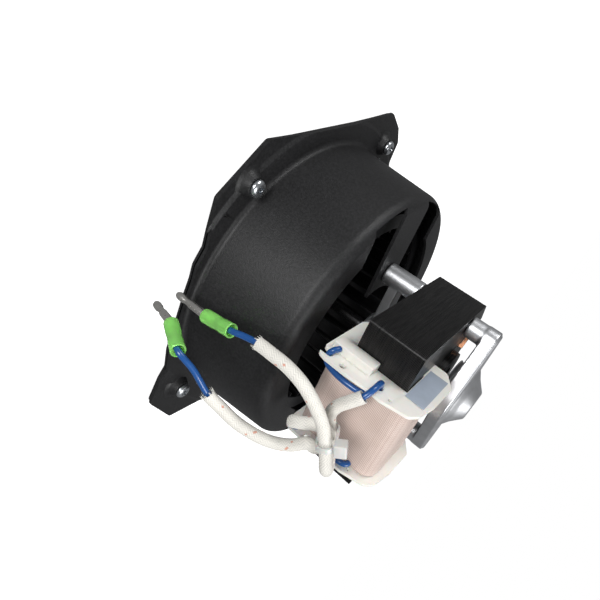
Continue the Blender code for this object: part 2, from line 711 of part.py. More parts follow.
def bobbin_outline():
    """A flange's outline in Y and Z, with the finger and the wire's notch at its lower end."""
    low, high = BOBBIN_BOTTOM, BOBBIN_TOP
    slot = WIRE_RADIUS + WIRE_CLEARANCE
    corners = [
        (-25.0, low + 4.0 * MM), (-25.0, high - 4.0 * MM), (-33.0, high + 1.4 * MM),
        (-50.3, high + 1.2 * MM), (-60.5, high - 0.4 * MM), (-65.0, high - 3.2 * MM),
        (-66.4, high - 9.7 * MM), (-67.6, high - 14.7 * MM), (-67.3, high - 21.7 * MM),
        (-68.3, high - 32.7 * MM), (-68.3, high - 41.7 * MM), (-67.4, low + 1.6 * MM),
    ]
    outline = [(y * MM, z) for y, z in corners]
    outline += [
        (NOTCH_Y - slot, low + 0.4 * MM), (NOTCH_Y - slot, NOTCH_TOP),
        (NOTCH_Y + slot, NOTCH_TOP), (NOTCH_Y + slot, low), (-31.0 * MM, low),
    ]
    return rounded(outline, 3.0 * MM, 2)


def wire_block(side):
    """The raised block on a flange where the lead goes into the coil."""
    x = sorted((side * (FLANGE_OUTSIDE_X - GAP), side * (FLANGE_OUTSIDE_X + 4.0 * MM)))
    low, high = BOBBIN_BOTTOM + 2.5 * MM, BOBBIN_BOTTOM + 21.8 * MM
    return box("wire_block", (x[0], -60.6 * MM, low), (x[1], -COIL_SIDE - GAP, high), 0.4 * MM)


def make_bobbin():
    wall, gap = BOBBIN_WALL, GAP
    y_low, y_high = -COIL_SIDE, -CORE_BACK + gap
    z_low, z_high = STACK_BOTTOM - gap, STACK_TOP + gap
    outside = FLANGE_OUTSIDE_X
    bobbin = box("bobbin", (-outside + gap, y_low - wall, z_low - wall),
                 (outside - gap, y_high + wall, z_high + wall))
    for side in (-1, 1):
        near, far = sorted((side * FLANGE_INSIDE_X, side * outside))
        join(bobbin, plate("bobbin_flange", [bobbin_outline()], near, far, ACROSS_X))
        join(bobbin, wire_block(side))
    cut(bobbin, box("core_way", (-LEG_GAP, y_low, z_low), (LEG_GAP, y_high, z_high)))
    hole_y, hole_z = LEAD_HOLE
    cut(bobbin, cylinder("lead_hole", (-FLANGE_INSIDE_X + gap, hole_y, hole_z),
                         (-outside - SHEET, hole_y, hole_z), WIRE_RADIUS + WIRE_CLEARANCE, sides=16))
    for y, z, radius in ((-65.5, 11.8, 1.4), (-64.3, 33.8, 0.8)):
        height = BOBBIN_BOTTOM + z * MM
        for side in (-1, 1):
            cut(bobbin, cylinder("flange_hole", (side * (FLANGE_INSIDE_X - gap), y * MM, height),
                                 (side * (outside + SHEET), y * MM, height), radius * MM, sides=12))
    return keep(bobbin, "bobbin", IVORY)


def make_winding():
    wall = BOBBIN_WALL + 2 * GAP
    corners = [
        (-WINDING_FRONT, WINDING_BOTTOM), (-WINDING_BACK, WINDING_BOTTOM),
        (-WINDING_BACK, WINDING_TOP), (-WINDING_FRONT, WINDING_TOP),
    ]
    y_low, y_high = -COIL_SIDE - wall + GAP, -CORE_BACK + wall
    z_low, z_high = STACK_BOTTOM - wall, STACK_TOP + wall
    inner = [(y_low, z_low), (y_low, z_high), (y_high, z_high), (y_high, z_low)]
    outline = rounded(corners, WINDING_CORNER, 6)
    winding = plate("winding", [outline, inner], -WINDING_X, WINDING_X, ACROSS_X)
    return keep(winding, "winding", COIL_TAPE)


def make_label():
    high = BOBBIN_TOP - 1.2 * MM
    x = FLANGE_OUTSIDE_X + GAP
    label = box("label", (-x - LABEL_SHEET, -56.5 * MM, STACK_TOP + 0.6 * MM), (-x, -31.6 * MM, high))
    return keep(label, "label", LABEL_GREY)


# ---------------------------------------------------------------- rotor and wheel

def make_rotor():
    bore = SHAFT_RADIUS + GAP
    waist = ROTOR_RADIUS - 2.0 * MM
    ring_bore = 9.0 * MM
    profile = [
        (ring_bore, ROTOR_TOP), (waist, ROTOR_TOP), (waist, STACK_TOP), (ROTOR_RADIUS, STACK_TOP),
        (ROTOR_RADIUS, STACK_BOTTOM), (waist, STACK_BOTTOM), (waist, ROTOR_BOTTOM),
        (ring_bore, ROTOR_BOTTOM), (ring_bore, STACK_BOTTOM), (bore, STACK_BOTTOM),
        (bore, STACK_TOP), (ring_bore, STACK_TOP),
    ]
    keep(turned("rotor_core", profile, 32), "rotor_core", LAMINATION)
    shaft_top = REAR_BOSS_TOP - 3.0 * MM
    shaft_bottom = WHEEL_BOTTOM + 1.0 * MM
    keep(cylinder("shaft", (0, 0, shaft_bottom), (0, 0, shaft_top), SHAFT_RADIUS, sides=24),
         "shaft", STEEL)
    seats = (
        ("thrust_washer_front", FRONT_BOSS_TOP + GAP),
        ("thrust_washer_rear", REAR_BOSS_BOTTOM - GAP - WASHER_THICKNESS),
    )
    for name, low in seats:
        high = low + WASHER_THICKNESS
        profile = [(bore, high), (WASHER_RADIUS, high), (WASHER_RADIUS, low), (bore, low)]
        keep(turned(name, profile, 24), name, NYLON)


def blade_outline(turn):
    """One forward-curved blade seen along the shaft."""
    depth = WHEEL_RADIUS - BLADE_INNER_RADIUS
    inner = BLADE_INNER_RADIUS - GAP
    sweep = math.degrees(0.55 * depth / WHEEL_RADIUS)
    outline = []
    for side in (1, -1):
        points = []
        for step in range(4):
            share = step / 3
            radius = inner + (depth - 2 * GAP) * share
            angle = turn + sweep * (share + 0.9 * share * (share - 1))
            half = math.degrees(BLADE_SHEET / 2 / radius) * side
            points.append(polar(radius, angle + half))
        outline += points[::side]
    return outline


def make_wheel():
    """A back disc, and a cage of blades under a ring that stands on it."""
    top = WHEEL_BOTTOM + WHEEL_HEIGHT
    disc_top = WHEEL_BOTTOM + WHEEL_SHEET
    hub_hole = HUB_RADIUS + GAP
    profile = [
        (hub_hole, disc_top), (WHEEL_RADIUS, disc_top), (WHEEL_RADIUS, WHEEL_BOTTOM),
        (hub_hole, WHEEL_BOTTOM),
    ]
    disc = turned("wheel_disc", profile, 40)
    for index in range(3):
        x, y = polar(HUB_RIVET_CIRCLE, 120 * index)
        cut(disc, cylinder("rivet_hole", (x, y, 0), (x, y, top / 2), HUB_RIVET_RADIUS + GAP,
                           sides=12))
    keep(disc, "wheel_disc", WHEEL_BLACK)
    inner = WHEEL_RADIUS - WHEEL_RING_WIDTH
    ring = [(inner, top), (WHEEL_RADIUS, top), (WHEEL_RADIUS, top - WHEEL_SHEET),
            (inner, top - WHEEL_SHEET)]
    cage = turned("wheel", ring, 40)
    blades = [blade_outline(360 * index / BLADE_COUNT) for index in range(BLADE_COUNT)]
    join(cage, plate("blades", blades, disc_top + GAP, top - WHEEL_SHEET / 2))
    return keep(cage, "wheel", WHEEL_BLACK)


def make_hub():
    low = WHEEL_BOTTOM + WHEEL_SHEET + GAP
    bore = SHAFT_RADIUS + GAP
    step = low + HUB_FLANGE
    high = low + HUB_HEIGHT
    profile = [
        (bore, high), (HUB_RADIUS, high), (HUB_RADIUS, step), (HUB_FLANGE_RADIUS, step),
        (HUB_FLANGE_RADIUS, low), (bore, low),
    ]
    hub = turned("wheel_hub", profile, 32)
    screw_z = step + 0.6 * HUB_HEIGHT
    screw_radius = 2.0 * MM
    cut(hub, cylinder("set_screw_hole", (0, 0, screw_z), (2 * HUB_RADIUS, 0, screw_z),
                      screw_radius + GAP, sides=16))
    keep(hub, "wheel_hub", ZINC)
    start = SHAFT_RADIUS + GAP
    keep(cylinder("hub_set_screw", (start, 0, screw_z), (HUB_RADIUS, 0, screw_z), screw_radius,
                  sides=16), "hub_set_screw", STEEL)
    for index in range(3):
        x, y = polar(HUB_RIVET_CIRCLE, 120 * index)
        cut(hub, cylinder("rivet_hole", (x, y, 0), (x, y, high), HUB_RIVET_RADIUS + GAP, sides=12))
        head = 2.6 * MM
        rise = 0.8 * MM
        under, over = WHEEL_BOTTOM - GAP, step + GAP
        core = 0.5 * MM
        profile = [
            (core, over + rise), (HUB_RIVET_RADIUS, over + rise), (head, over),
            (HUB_RIVET_RADIUS, over), (HUB_RIVET_RADIUS, under), (head, under),
            (HUB_RIVET_RADIUS, under - rise), (core, under - rise),
        ]
        rivet = turned("rivet", profile, 12, Matrix.Translation((x, y, 0)))
        keep(rivet, f"hub_rivet_{index + 1}", ZINC)


def make_through_bolts():
    """Screws from inside the drum through the arms, pillars and stack into the rear pillars."""
    for index, side in enumerate((-1, 1), 1):
        x = side * PILLAR_X
        seat = FACE_UNDER - GAP
        tip = REAR_PILLAR_TOP - 4.0 * MM
        bolt = cylinder("through_bolt", (x, 0, seat - BOLT_HEAD_HEIGHT), (x, 0, seat),
                        BOLT_HEAD_RADIUS * 0.8, BOLT_HEAD_RADIUS, sides=20)
        join(bolt, cylinder("bolt_shank", (x, 0, seat - BOLT_HEAD_HEIGHT / 2), (x, 0, tip),
                            THROUGH_BOLT_RADIUS, sides=16))
        keep(bolt, f"through_bolt_{index}", ZINC)


# ---------------------------------------------------------------- leads

# Each route is the wire's own, in millimetres, from the bobbin to the insulator.
LEAD_A = (
    (-20.3, -62.0, 91.1), (-22.6, -62.0, 91.1), (-24.8, -63.0, 91.1), (-26.0, -66.0, 91.2),
    (-25.6, -70.0, 91.2), (-22.6, -73.0, 90.0), (-17.6, -74.5, 86.6), (-12.2, -74.3, 83.5),
    (-6.3, -74.1, 82.3), (-0.3, -74.1, 84.9), (4.0, -74.1, 86.8), (7.0, -74.1, 88.2),
    (9.5, -74.8, 89.6), (11.1, -76.6, 91.3), (11.3, -79.2, 92.7), (10.1, -81.8, 93.5),
    (7.8, -83.7, 93.4), (5.1, -84.4, 92.6), (-2.2, -84.4, 89.3), (-5.4, -84.7, 87.5),
    (-10.3, -85.3, 84.8), (-14.9, -86.2, 81.0), (-19.3, -87.2, 76.0), (-22.6, -88.2, 70.8),
    (-24.6, -89.0, 64.0), (-25.0, -89.6, 57.3), (-25.0, -90.0, 50.3), (-23.6, -90.4, 43.6),
    (-22.2, -91.0, 38.3),
)
LEAD_B = (
    (24.3, -61.1, 69.6), (24.3, -62.2, 69.3), (23.9, -63.5, 68.6), (22.6, -64.2, 67.8),
    (20.9, -64.2, 67.4), (19.2, -65.0, 67.8), (17.4, -67.4, 69.3), (14.6, -71.0, 71.0),
    (10.0, -75.6, 71.6), (4.6, -80.0, 71.8), (0.6, -83.2, 73.0), (-2.0, -83.6, 76.2),
    (-4.1, -81.4, 80.8), (-4.3, -80.1, 83.7), (-2.7, -79.3, 86.3), (0.3, -79.3, 87.6),
    (3.3, -80.1, 87.1), (5.4, -81.4, 85.0), (4.7, -83.0, 82.1), (9.4, -85.0, 77.3),
    (11.9, -88.0, 71.2), (11.0, -92.0, 64.8), (7.9, -96.5, 57.1), (2.8, -100.5, 50.4),
    (-1.4, -103.5, 45.2), (-10.3, -107.2, 38.6), (-15.6, -110.0, 31.7),
)
SLEEVE_A = (5, 26)                  # first and last knot of LEAD_A inside the sleeve
SLEEVE_B = (10, 24)
INSULATOR_A_END = (-16.1, -87.5, 21.7)
INSULATOR_B_END = (-13.6, -100.4, 16.6)
BULLET_A_TIP = (-15.3, -87.6, 4.7)
BULLET_B_TIP = (-12.2, -96.6, 2.6)
WIRE_IN_INSULATOR = 0.55            # share of the insulator's length that the wire fills
TIE_CENTRE = Vector((-1.3, -79.2, 87.1)) * MM
TIE_ALONG = Vector((0.914, 0.0, 0.406)).normalized()
TIE_ACROSS = Vector((0.171, 0.907, -0.385)).normalized()
STRAND_OFFSET = 5.7 * MM            # lead A's two passes through the tie, from its centre


def in_metres(points):
    return [Vector(point) * MM for point in points]


def hollow_tube(name, path, radius, wall, finish):
    """A sleeve along a path, open at both ends."""
    sleeve = tube(name, path, radius, finish, capped=False)
    modifier = sleeve.modifiers.new("wall", "SOLIDIFY")
    modifier.thickness = wall
    modifier.offset = -1.0
    return sleeve


def make_lead(letter, knots, sleeve_span, insulator_end, bullet_tip):
    route = in_metres(knots)
    start, end = route[-1], Vector(insulator_end) * MM
    along = (end - start).normalized()
    length = (end - start).length
    wire_end = start + along * length * WIRE_IN_INSULATOR
    path = smooth_path([*route, wire_end], ROUTE_STEP)
    tube(f"lead_{letter}_wire", path, WIRE_RADIUS, WIRE_BLUE)
    first, last = sleeve_span
    sleeved = smooth_path(route, ROUTE_STEP)
    lowest = min(range(len(sleeved)), key=lambda i: (sleeved[i] - route[first]).length)
    highest = min(range(len(sleeved)), key=lambda i: (sleeved[i] - route[last]).length)
    hollow_tube(f"lead_{letter}_sleeve", sleeved[lowest:highest + 1], SLEEVE_RADIUS, SLEEVE_WALL,
                BRAID)
    profile = [
        (INSULATOR_BORE, length), (INSULATOR_RADIUS, length), (INSULATOR_RADIUS, 0.0),
        (INSULATOR_BORE, 0.0),
    ]
    place = Matrix.Translation(start) @ along.to_track_quat("Z", "Y").to_matrix().to_4x4()
    keep(turned("insulator", profile, 20, place), f"insulator_{letter}", INSULATOR_GREEN)
    make_bullet(letter, wire_end + along * GAP, end, Vector(bullet_tip) * MM)


def make_bullet(letter, crimp, mouth, tip):
    """A bullet terminal: its crimp lies inside the insulator and its pin reaches the tip."""
    barrel = 1.5 * MM
    bullet = cylinder("bullet", crimp, mouth, BULLET_RADIUS, sides=16)
    along = (tip - mouth).normalized()
    knee = mouth - along * 0.6 * MM
    neck = tip - along * 4.6 * MM
    join(bullet, cylinder("bullet_pin", knee, neck, BULLET_RADIUS - 0.1 * MM, sides=16))
    join(bullet, cylinder("bullet_nose", neck - along * 0.4 * MM, tip, BULLET_RADIUS, barrel,
                          sides=16))
    keep(bullet, f"bullet_{letter}", TIN)


def make_jumpers():
    """The stretches of lead wire that weave through the bobbin's two flanges."""
    upper = (
        (-24.3, -61.1, 69.6), (-24.3, -62.2, 69.3), (-23.9, -63.5, 68.6), (-22.6, -64.2, 67.8),
        (-20.9, -64.2, 67.4), (-19.4, -64.8, 67.8), (-18.5, -66.0, 69.8), (-18.3, -67.0, 73.2),
        (-18.3, -67.7, 77.4), (-18.3, -67.7, 81.4), (-18.2, -67.1, 85.2), (-18.0, -65.9, 87.5),
        (-17.7, -64.7, 88.8), (-17.6, -63.7, 89.0),
    )
    lower = (
        (17.8, -63.9, 83.2), (17.9, -65.0, 83.5), (18.0, -66.1, 84.9), (18.1, -66.7, 87.8),
        (18.1, -66.8, 91.2), (18.0, -66.2, 94.2), (17.9, -65.1, 95.7), (17.8, -63.9, 96.0),
    )
    for name, knots in (("coil_jumper_a", upper), ("coil_jumper_b", lower)):
        tube(name, smooth_path(in_metres(knots), 2.4 * MM), WIRE_RADIUS, WIRE_BLUE)


def make_tie():
    """A cable tie round lead A's two passes, with its strap through lead B's hairpin."""
    across = TIE_ACROSS
    normal = TIE_ALONG.cross(across)
    place = Matrix((across, -normal, TIE_ALONG)).transposed().to_4x4()
    if place.determinant() < 0:
        place = Matrix((across, normal, TIE_ALONG)).transposed().to_4x4()
    place = Matrix.Translation(TIE_CENTRE) @ place
    inner = SLEEVE_RADIUS + 1.5 * GAP
    outer = inner + TIE_THICKNESS
    rings = []
    for radius in (outer, inner):
        right = arc(radius, -90, 90, 8, (STRAND_OFFSET, 0))
        left = arc(radius, 90, 270, 8, (-STRAND_OFFSET, 0))
        rings.append(right + left)
    tie = plate("cable_tie", rings, -TIE_WIDTH / 2, TIE_WIDTH / 2, place)
    low = Vector((-STRAND_OFFSET - 3.6 * MM, inner + 0.2 * MM, -2.6 * MM))
    high = Vector((-STRAND_OFFSET + 2.0 * MM, inner + 5.2 * MM, 2.6 * MM))
    head = box("tie_head", low, high, 0.5 * MM)
    head.matrix_world = place @ head.matrix_world
    join(tie, head)
    return keep(tie, "cable_tie", TIE_WHITE)


# ---------------------------------------------------------------- assembly

def main():
    make_housing()
    make_back_plate()
    make_flange_screws()
    make_front_bracket()
    make_rear_bracket()
    make_bearings()
    make_stator_stack()
    make_shading_rings()
    make_coil_core()
    make_bobbin()
    make_winding()
    make_label()
    make_rotor()
    make_wheel()
    make_hub()
    make_through_bolts()
    make_lead("a", LEAD_A, SLEEVE_A, INSULATOR_A_END, BULLET_A_TIP)
    make_lead("b", LEAD_B, SLEEVE_B, INSULATOR_B_END, BULLET_B_TIP)
    make_jumpers()
    make_tie()


main()
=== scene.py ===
"""Looks of the convection blower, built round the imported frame.

Everything is in metres in the frame's own axes: +Z along the shaft from the back plate to the
motor, with the coil on the -Y side. Pieces repeat the frame's sizes with finer surfaces.
"""

import math
import random

import bmesh
import bpy
from mathutils import Matrix, Vector


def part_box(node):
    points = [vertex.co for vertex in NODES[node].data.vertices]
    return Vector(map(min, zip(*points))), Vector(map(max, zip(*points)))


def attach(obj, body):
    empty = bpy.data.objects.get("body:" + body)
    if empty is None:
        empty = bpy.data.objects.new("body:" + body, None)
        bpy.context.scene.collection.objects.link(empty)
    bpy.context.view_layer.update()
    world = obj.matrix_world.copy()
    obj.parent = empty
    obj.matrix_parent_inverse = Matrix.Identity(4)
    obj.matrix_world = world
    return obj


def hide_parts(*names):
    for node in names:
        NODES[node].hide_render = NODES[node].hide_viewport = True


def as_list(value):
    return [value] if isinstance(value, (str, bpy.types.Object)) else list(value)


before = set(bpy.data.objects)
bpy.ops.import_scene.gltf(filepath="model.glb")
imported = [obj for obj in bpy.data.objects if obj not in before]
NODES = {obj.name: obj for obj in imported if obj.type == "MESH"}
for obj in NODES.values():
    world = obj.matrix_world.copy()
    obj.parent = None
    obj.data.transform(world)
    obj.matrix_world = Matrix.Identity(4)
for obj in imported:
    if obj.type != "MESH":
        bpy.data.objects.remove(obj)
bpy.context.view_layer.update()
MM = 0.001
DICE = random.Random(7)

# Sizes shared with the frame, in metres
SHEET, PLATE_SHEET, GAP = 1.5 * MM, 1.2 * MM, 0.3 * MM
FLANGE_UNDER, FLANGE_TOP = 1.5 * MM, 3.0 * MM
FACE_UNDER, FACE_TOP = 51.8 * MM, 53.3 * MM
DRUM_RADIUS, DRUM_DRAFT, DRUM_DEPTH = 73.8 * MM, 0.07, 50.3 * MM
FOOT_RADIUS = DRUM_RADIUS + DRUM_DRAFT * DRUM_DEPTH
BOSS_CIRCLE = FOOT_RADIUS + 9.4 * MM
BOSS_ANGLES = (45.0, 150.0, 224.0, 305.0)
FLANGE_EDGE = (
    (0, 8.5), (16, 12.5), (34, 20), (56, 20), (74, 12.5), (90, 8.5), (105, 8), (125, 8.5),
    (134.5, 13), (139.5, 21.5), (146, 24), (155, 24.5), (162, 17.5), (173, 11), (192, 9),
    (205.5, 13.5), (214, 20), (233, 18), (241, 10), (246, 6), (252, 6), (257, 4), (263, 3.5),
    (273.5, 4), (285, 8), (293, 10.5), (296, 15.5), (302.5, 25), (317, 25), (329.5, 11),
    (345, 8),
)
PILLAR_X = 34.0 * MM
BOLT_HOLE = 2.3 * MM                            # radius of every screw and bolt hole
PILLAR_RADIUS = 5.5 * MM
STACK_BOTTOM, STACK_TOP = 73.1 * MM, 99.3 * MM
FRONT_PILLAR_BOTTOM, FRONT_PILLAR_TOP = 53.6 * MM, 72.8 * MM
REAR_PILLAR_TOP = 113.3 * MM
FLANGE_OUT_X, FLANGE_IN_X = 21.9 * MM, 20.5 * MM
BOBBIN_BOTTOM, BOBBIN_TOP = 63.5 * MM, 109.7 * MM
WIRE_RADIUS, SLEEVE_RADIUS = 1.3 * MM, 2.6 * MM
SLEEVE_WALL, FIBRES = 0.4 * MM, 26
ACROSS_X = Matrix(((0, 0, 1, 0), (1, 0, 0, 0), (0, 1, 0, 0), (0, 0, 0, 1)))
FLAT = Matrix.Identity(4)


# ---------------------------------------------------------------- camera

def make_camera():
    right = Vector((-0.3201, 0.5927, 0.7391))
    down = Vector((0.7847, -0.2712, 0.5573))
    forward = Vector((0.5308, 0.7584, -0.3783))
    data = bpy.data.cameras.new("camera")
    data.sensor_width = 36.0
    data.lens = 30.243
    data.clip_start, data.clip_end = 0.01, 20.0
    camera = bpy.data.objects.new("camera", data)
    turn = Matrix((right, -down, -forward)).transposed()
    camera.matrix_world = Matrix.Translation((-0.1407, -0.2169, 0.1228)) @ turn.to_4x4()
    bpy.context.scene.collection.objects.link(camera)
    bpy.context.scene.camera = camera


make_camera()


# ---------------------------------------------------------------- routes of the leads

LEAD_A = (
    (-20.3, -62.0, 91.1), (-22.6, -62.0, 91.1), (-24.8, -63.0, 91.1), (-26.0, -66.0, 91.2),
    (-25.6, -70.0, 91.2), (-22.6, -73.0, 90.0), (-17.6, -74.5, 86.6), (-12.2, -74.3, 83.5),
    (-6.3, -74.1, 82.3), (-0.3, -74.1, 84.9), (4.0, -74.1, 86.8), (7.0, -74.1, 88.2),
    (9.5, -74.8, 89.6), (11.1, -76.6, 91.3), (11.3, -79.2, 92.7), (10.1, -81.8, 93.5),
    (7.8, -83.7, 93.4), (5.1, -84.4, 92.6), (-2.2, -84.4, 89.3), (-5.4, -84.7, 87.5),
    (-10.3, -85.3, 84.8), (-14.9, -86.2, 81.0), (-19.3, -87.2, 76.0), (-22.6, -88.2, 70.8),
    (-24.6, -89.0, 64.0), (-25.0, -89.6, 57.3), (-25.0, -90.0, 50.3), (-23.6, -90.4, 43.6),
    (-22.2, -91.0, 38.3),
)
LEAD_B = (
    (24.3, -61.1, 69.6), (24.3, -62.2, 69.3), (23.9, -63.5, 68.6), (22.6, -64.2, 67.8),
    (20.9, -64.2, 67.4), (19.2, -65.0, 67.8), (17.4, -67.4, 69.3), (14.6, -71.0, 71.0),
    (10.0, -75.6, 71.6), (4.6, -80.0, 71.8), (0.6, -83.2, 73.0), (-2.0, -83.6, 76.2),
    (-4.1, -81.4, 80.8), (-4.3, -80.1, 83.7), (-2.7, -79.3, 86.3), (0.3, -79.3, 87.6),
    (3.3, -80.1, 87.1), (5.4, -81.4, 85.0), (4.7, -83.0, 82.1), (9.4, -85.0, 77.3),
    (11.9, -88.0, 71.2), (11.0, -92.0, 64.8), (7.9, -96.5, 57.1), (2.8, -100.5, 50.4),
    (-1.4, -103.5, 45.2), (-10.3, -107.2, 38.6), (-15.6, -110.0, 31.7),
)
JUMPER_A = (
    (-24.3, -61.1, 69.6), (-24.3, -62.2, 69.3), (-23.9, -63.5, 68.6), (-22.6, -64.2, 67.8),
    (-20.9, -64.2, 67.4), (-19.4, -64.8, 67.8), (-18.5, -66.0, 69.8), (-18.3, -67.0, 73.2),
    (-18.3, -67.7, 77.4), (-18.3, -67.7, 81.4), (-18.2, -67.1, 85.2), (-18.0, -65.9, 87.5),
    (-17.7, -64.7, 88.8), (-17.6, -63.7, 89.0),
)
JUMPER_B = (
    (17.8, -63.9, 83.2), (17.9, -65.0, 83.5), (18.0, -66.1, 84.9), (18.1, -66.7, 87.8),
    (18.1, -66.8, 91.2), (18.0, -66.2, 94.2), (17.9, -65.1, 95.7), (17.8, -63.9, 96.0),
)
SLEEVED_A, SLEEVED_B = (5, 26), (10, 24)       # first and last knot inside each sleeve
END_A, END_B = Vector((-16.1, -87.5, 21.7)) * MM, Vector((-13.6, -100.4, 16.6)) * MM
TIP_A, TIP_B = Vector((-15.3, -87.6, 4.7)) * MM, Vector((-12.2, -96.6, 2.6)) * MM
WIRE_IN_INSULATOR = 0.55
TIE_CENTRE = Vector((-1.3, -79.2, 87.1)) * MM
TIE_ALONG = Vector((0.914, 0.0, 0.406)).normalized()
TIE_ACROSS = Vector((0.171, 0.907, -0.385)).normalized()
STRAND_OFFSET = 5.7 * MM                        # lead A's two passes, from the tie's centre
TIE_THICKNESS, TIE_HALF_WIDTH = 0.9 * MM, 1.1 * MM


def smooth_path(knots, spacing):
    """Points about spacing apart on a smooth curve through the knots."""
    points = [Vector(knot) for knot in knots]
    ends = [2 * points[0] - points[1], *points, 2 * points[-1] - points[-2]]
    path = [points[0]]
    for before, start, end, after in zip(ends, ends[1:], ends[2:], ends[3:]):
        steps = max(1, round((end - start).length / spacing))
        for step in range(1, steps + 1):
            t = step / steps
            path.append(0.5 * (
                2 * start + (end - before) * t
                + (2 * before - 5 * start + 4 * end - after) * t * t
                + (3 * start - before - 3 * end + after) * t * t * t
            ))
    return path


def in_metres(points):
    return [Vector(point) * MM for point in points]


# ---------------------------------------------------------------- materials

class Finish:
    """A Principled material and short ways to add procedural detail in object space."""

    def __init__(self, name, colour, roughness, metallic=0.0, **sockets):
        self.made = bpy.data.materials.new(name)
        self.made.use_nodes = True
        self.tree = self.made.node_tree
        self.shader = self.tree.nodes["Principled BSDF"]
        self.set("Base Color", (*colour, 1.0))
        self.set("Roughness", roughness)
        self.set("Metallic", metallic)
        for socket, value in sockets.items():
            self.set(socket.replace("_", " "), value)
        self.made.diffuse_color = (*colour, 1.0)
        self.bumped = None

    def set(self, socket, value):
        self.shader.inputs[socket].default_value = value

    def node(self, kind, **values):
        made = self.tree.nodes.new(kind)
        for key, value in values.items():
            if hasattr(made, key):
                setattr(made, key, value)
            else:
                made.inputs[key.replace("_", " ")].default_value = value
        return made

    def link(self, output, target):
        self.tree.links.new(output, target)
        return self

    def place(self, kind="Object", scale=(1, 1, 1)):
        source = self.node("ShaderNodeTexCoord")
        spread = self.node("ShaderNodeMapping")
        spread.inputs["Scale"].default_value = scale
        self.link(source.outputs[kind], spread.inputs["Vector"])
        return spread.outputs["Vector"]

    def noise(self, scale, detail=4.0, rough=0.5, stretch=(1, 1, 1)):
        made = self.node("ShaderNodeTexNoise", Scale=scale, Detail=detail, Roughness=rough)
        self.link(self.place(scale=stretch), made.inputs["Vector"])
        return made.outputs["Fac"]

    def ramp(self, value, *stops):
        made = self.node("ShaderNodeValToRGB")
        elements = made.color_ramp.elements
        while len(elements) < len(stops):
            elements.new(0.5)
        for element, (position, colour) in zip(elements, stops):
            element.position = position
            element.color = (*colour, 1.0) if len(colour) == 3 else colour
        self.link(value, made.inputs["Fac"])
        return made.outputs["Color"]

    def spread(self, value, low, high):
        made = self.node("ShaderNodeMapRange")
        made.inputs["To Min"].default_value = low
        made.inputs["To Max"].default_value = high
        self.link(value, made.inputs["Value"])
        return made.outputs["Result"]

    def colour(self, output):
        return self.link(output, self.shader.inputs["Base Color"])

    def rough(self, output):
        return self.link(output, self.shader.inputs["Roughness"])

    def bump(self, height, strength, distance):
        made = self.node("ShaderNodeBump", Strength=strength, Distance=distance)
        self.link(height, made.inputs["Height"])
        if self.bumped:
            self.link(self.bumped, made.inputs["Normal"])
        self.bumped = made.outputs["Normal"]
        self.link(self.bumped, self.shader.inputs["Normal"])
        return self


def grey(value):
    return (value, value, value)


def powder_black():
    f = Finish("powder_black", (0.02, 0.02, 0.022), 0.42)
    grain = f.noise(1500, 3.0, 0.6)
    f.colour(f.ramp(f.noise(900, 2.0), (0.35, (0.004, 0.004, 0.0045)),
                    (0.7, (0.014, 0.014, 0.015))))
    f.rough(f.spread(f.noise(60, 3.0), 0.44, 0.56))
    return f.bump(grain, 0.9, 0.00014).made


def metal(name, colour, roughness, grain, strength):
    f = Finish(name, colour, roughness, 1.0)
    low = tuple(0.82 * c for c in colour)
    f.colour(f.ramp(f.noise(120, 5.0, 0.6), (0.3, low), (0.7, colour)))
    f.rough(f.spread(f.noise(260, 4.0), roughness - 0.07, roughness + 0.1))
    return f.bump(f.noise(grain, 3.0, 0.55), strength, 0.0001).made


def lamination():
    f = Finish("lamination", (0.05, 0.05, 0.052), 0.38, 0.75)
    streak = f.noise(90, 4.0, 0.6, (1, 1, 24))
    f.colour(f.ramp(streak, (0.32, (0.010, 0.010, 0.011)), (0.72, (0.045, 0.044, 0.043))))
    f.rough(f.spread(f.noise(300, 3.0, 0.5, (1, 1, 8)), 0.26, 0.5))
    return f.bump(streak, 0.25, 0.0001).made


def ivory():
    f = Finish("bobbin_ivory", (0.9, 0.88, 0.82), 0.38, Subsurface_Weight=0.12,
               Subsurface_Scale=0.002)
    f.colour(f.ramp(f.noise(55, 3.0), (0.3, (0.86, 0.84, 0.775)), (0.75, (0.93, 0.915, 0.865))))
    f.rough(f.spread(f.noise(180, 3.0), 0.32, 0.46))
    return f.bump(f.noise(500, 2.0), 0.05, 0.0001).made


def threads(f, direction, pitch):
    """Fine parallel threads across U or V of the surface's own map, which is in millimetres."""
    made = f.node("ShaderNodeTexWave", bands_direction=direction, Scale=0.3142 / pitch,
                  Distortion=0.6, Detail=1.0)
    made.inputs["Detail Scale"].default_value = 0.5
    f.link(f.place("UV"), made.inputs["Vector"])
    return made.outputs["Fac"]


def coil_tape():
    f = Finish("coil_tape", (0.68, 0.53, 0.47), 0.62, Sheen_Weight=0.15)
    around, along = threads(f, "X", 0.62), threads(f, "Y", 1.0)
    mix = f.node("ShaderNodeMix", data_type="FLOAT")
    mix.inputs[0].default_value = 0.25
    f.link(around, mix.inputs[2]).link(along, mix.inputs[3])
    woven = mix.outputs[0]
    # The thread pattern is the tape's own weave, and its low grooves are darkened as painted
    # shade.
    cloth_and_groove_shade = f.ramp(woven, (0.1, (0.50, 0.36, 0.31)), (0.55, (0.70, 0.56, 0.50)),
                   (0.95, (0.84, 0.74, 0.68)))
    patch = f.node("ShaderNodeMixRGB", blend_type="MULTIPLY")
    patch.inputs["Fac"].default_value = 0.55
    shade = f.ramp(f.noise(110, 3.0), (0.3, (0.84, 0.80, 0.78)), (0.75, (1.0, 1.0, 1.0)))
    f.link(cloth_and_groove_shade, patch.inputs["Color1"]).link(shade, patch.inputs["Color2"])
    f.colour(patch.outputs["Color"])
    return f.bump(woven, 0.55, 0.00015).made


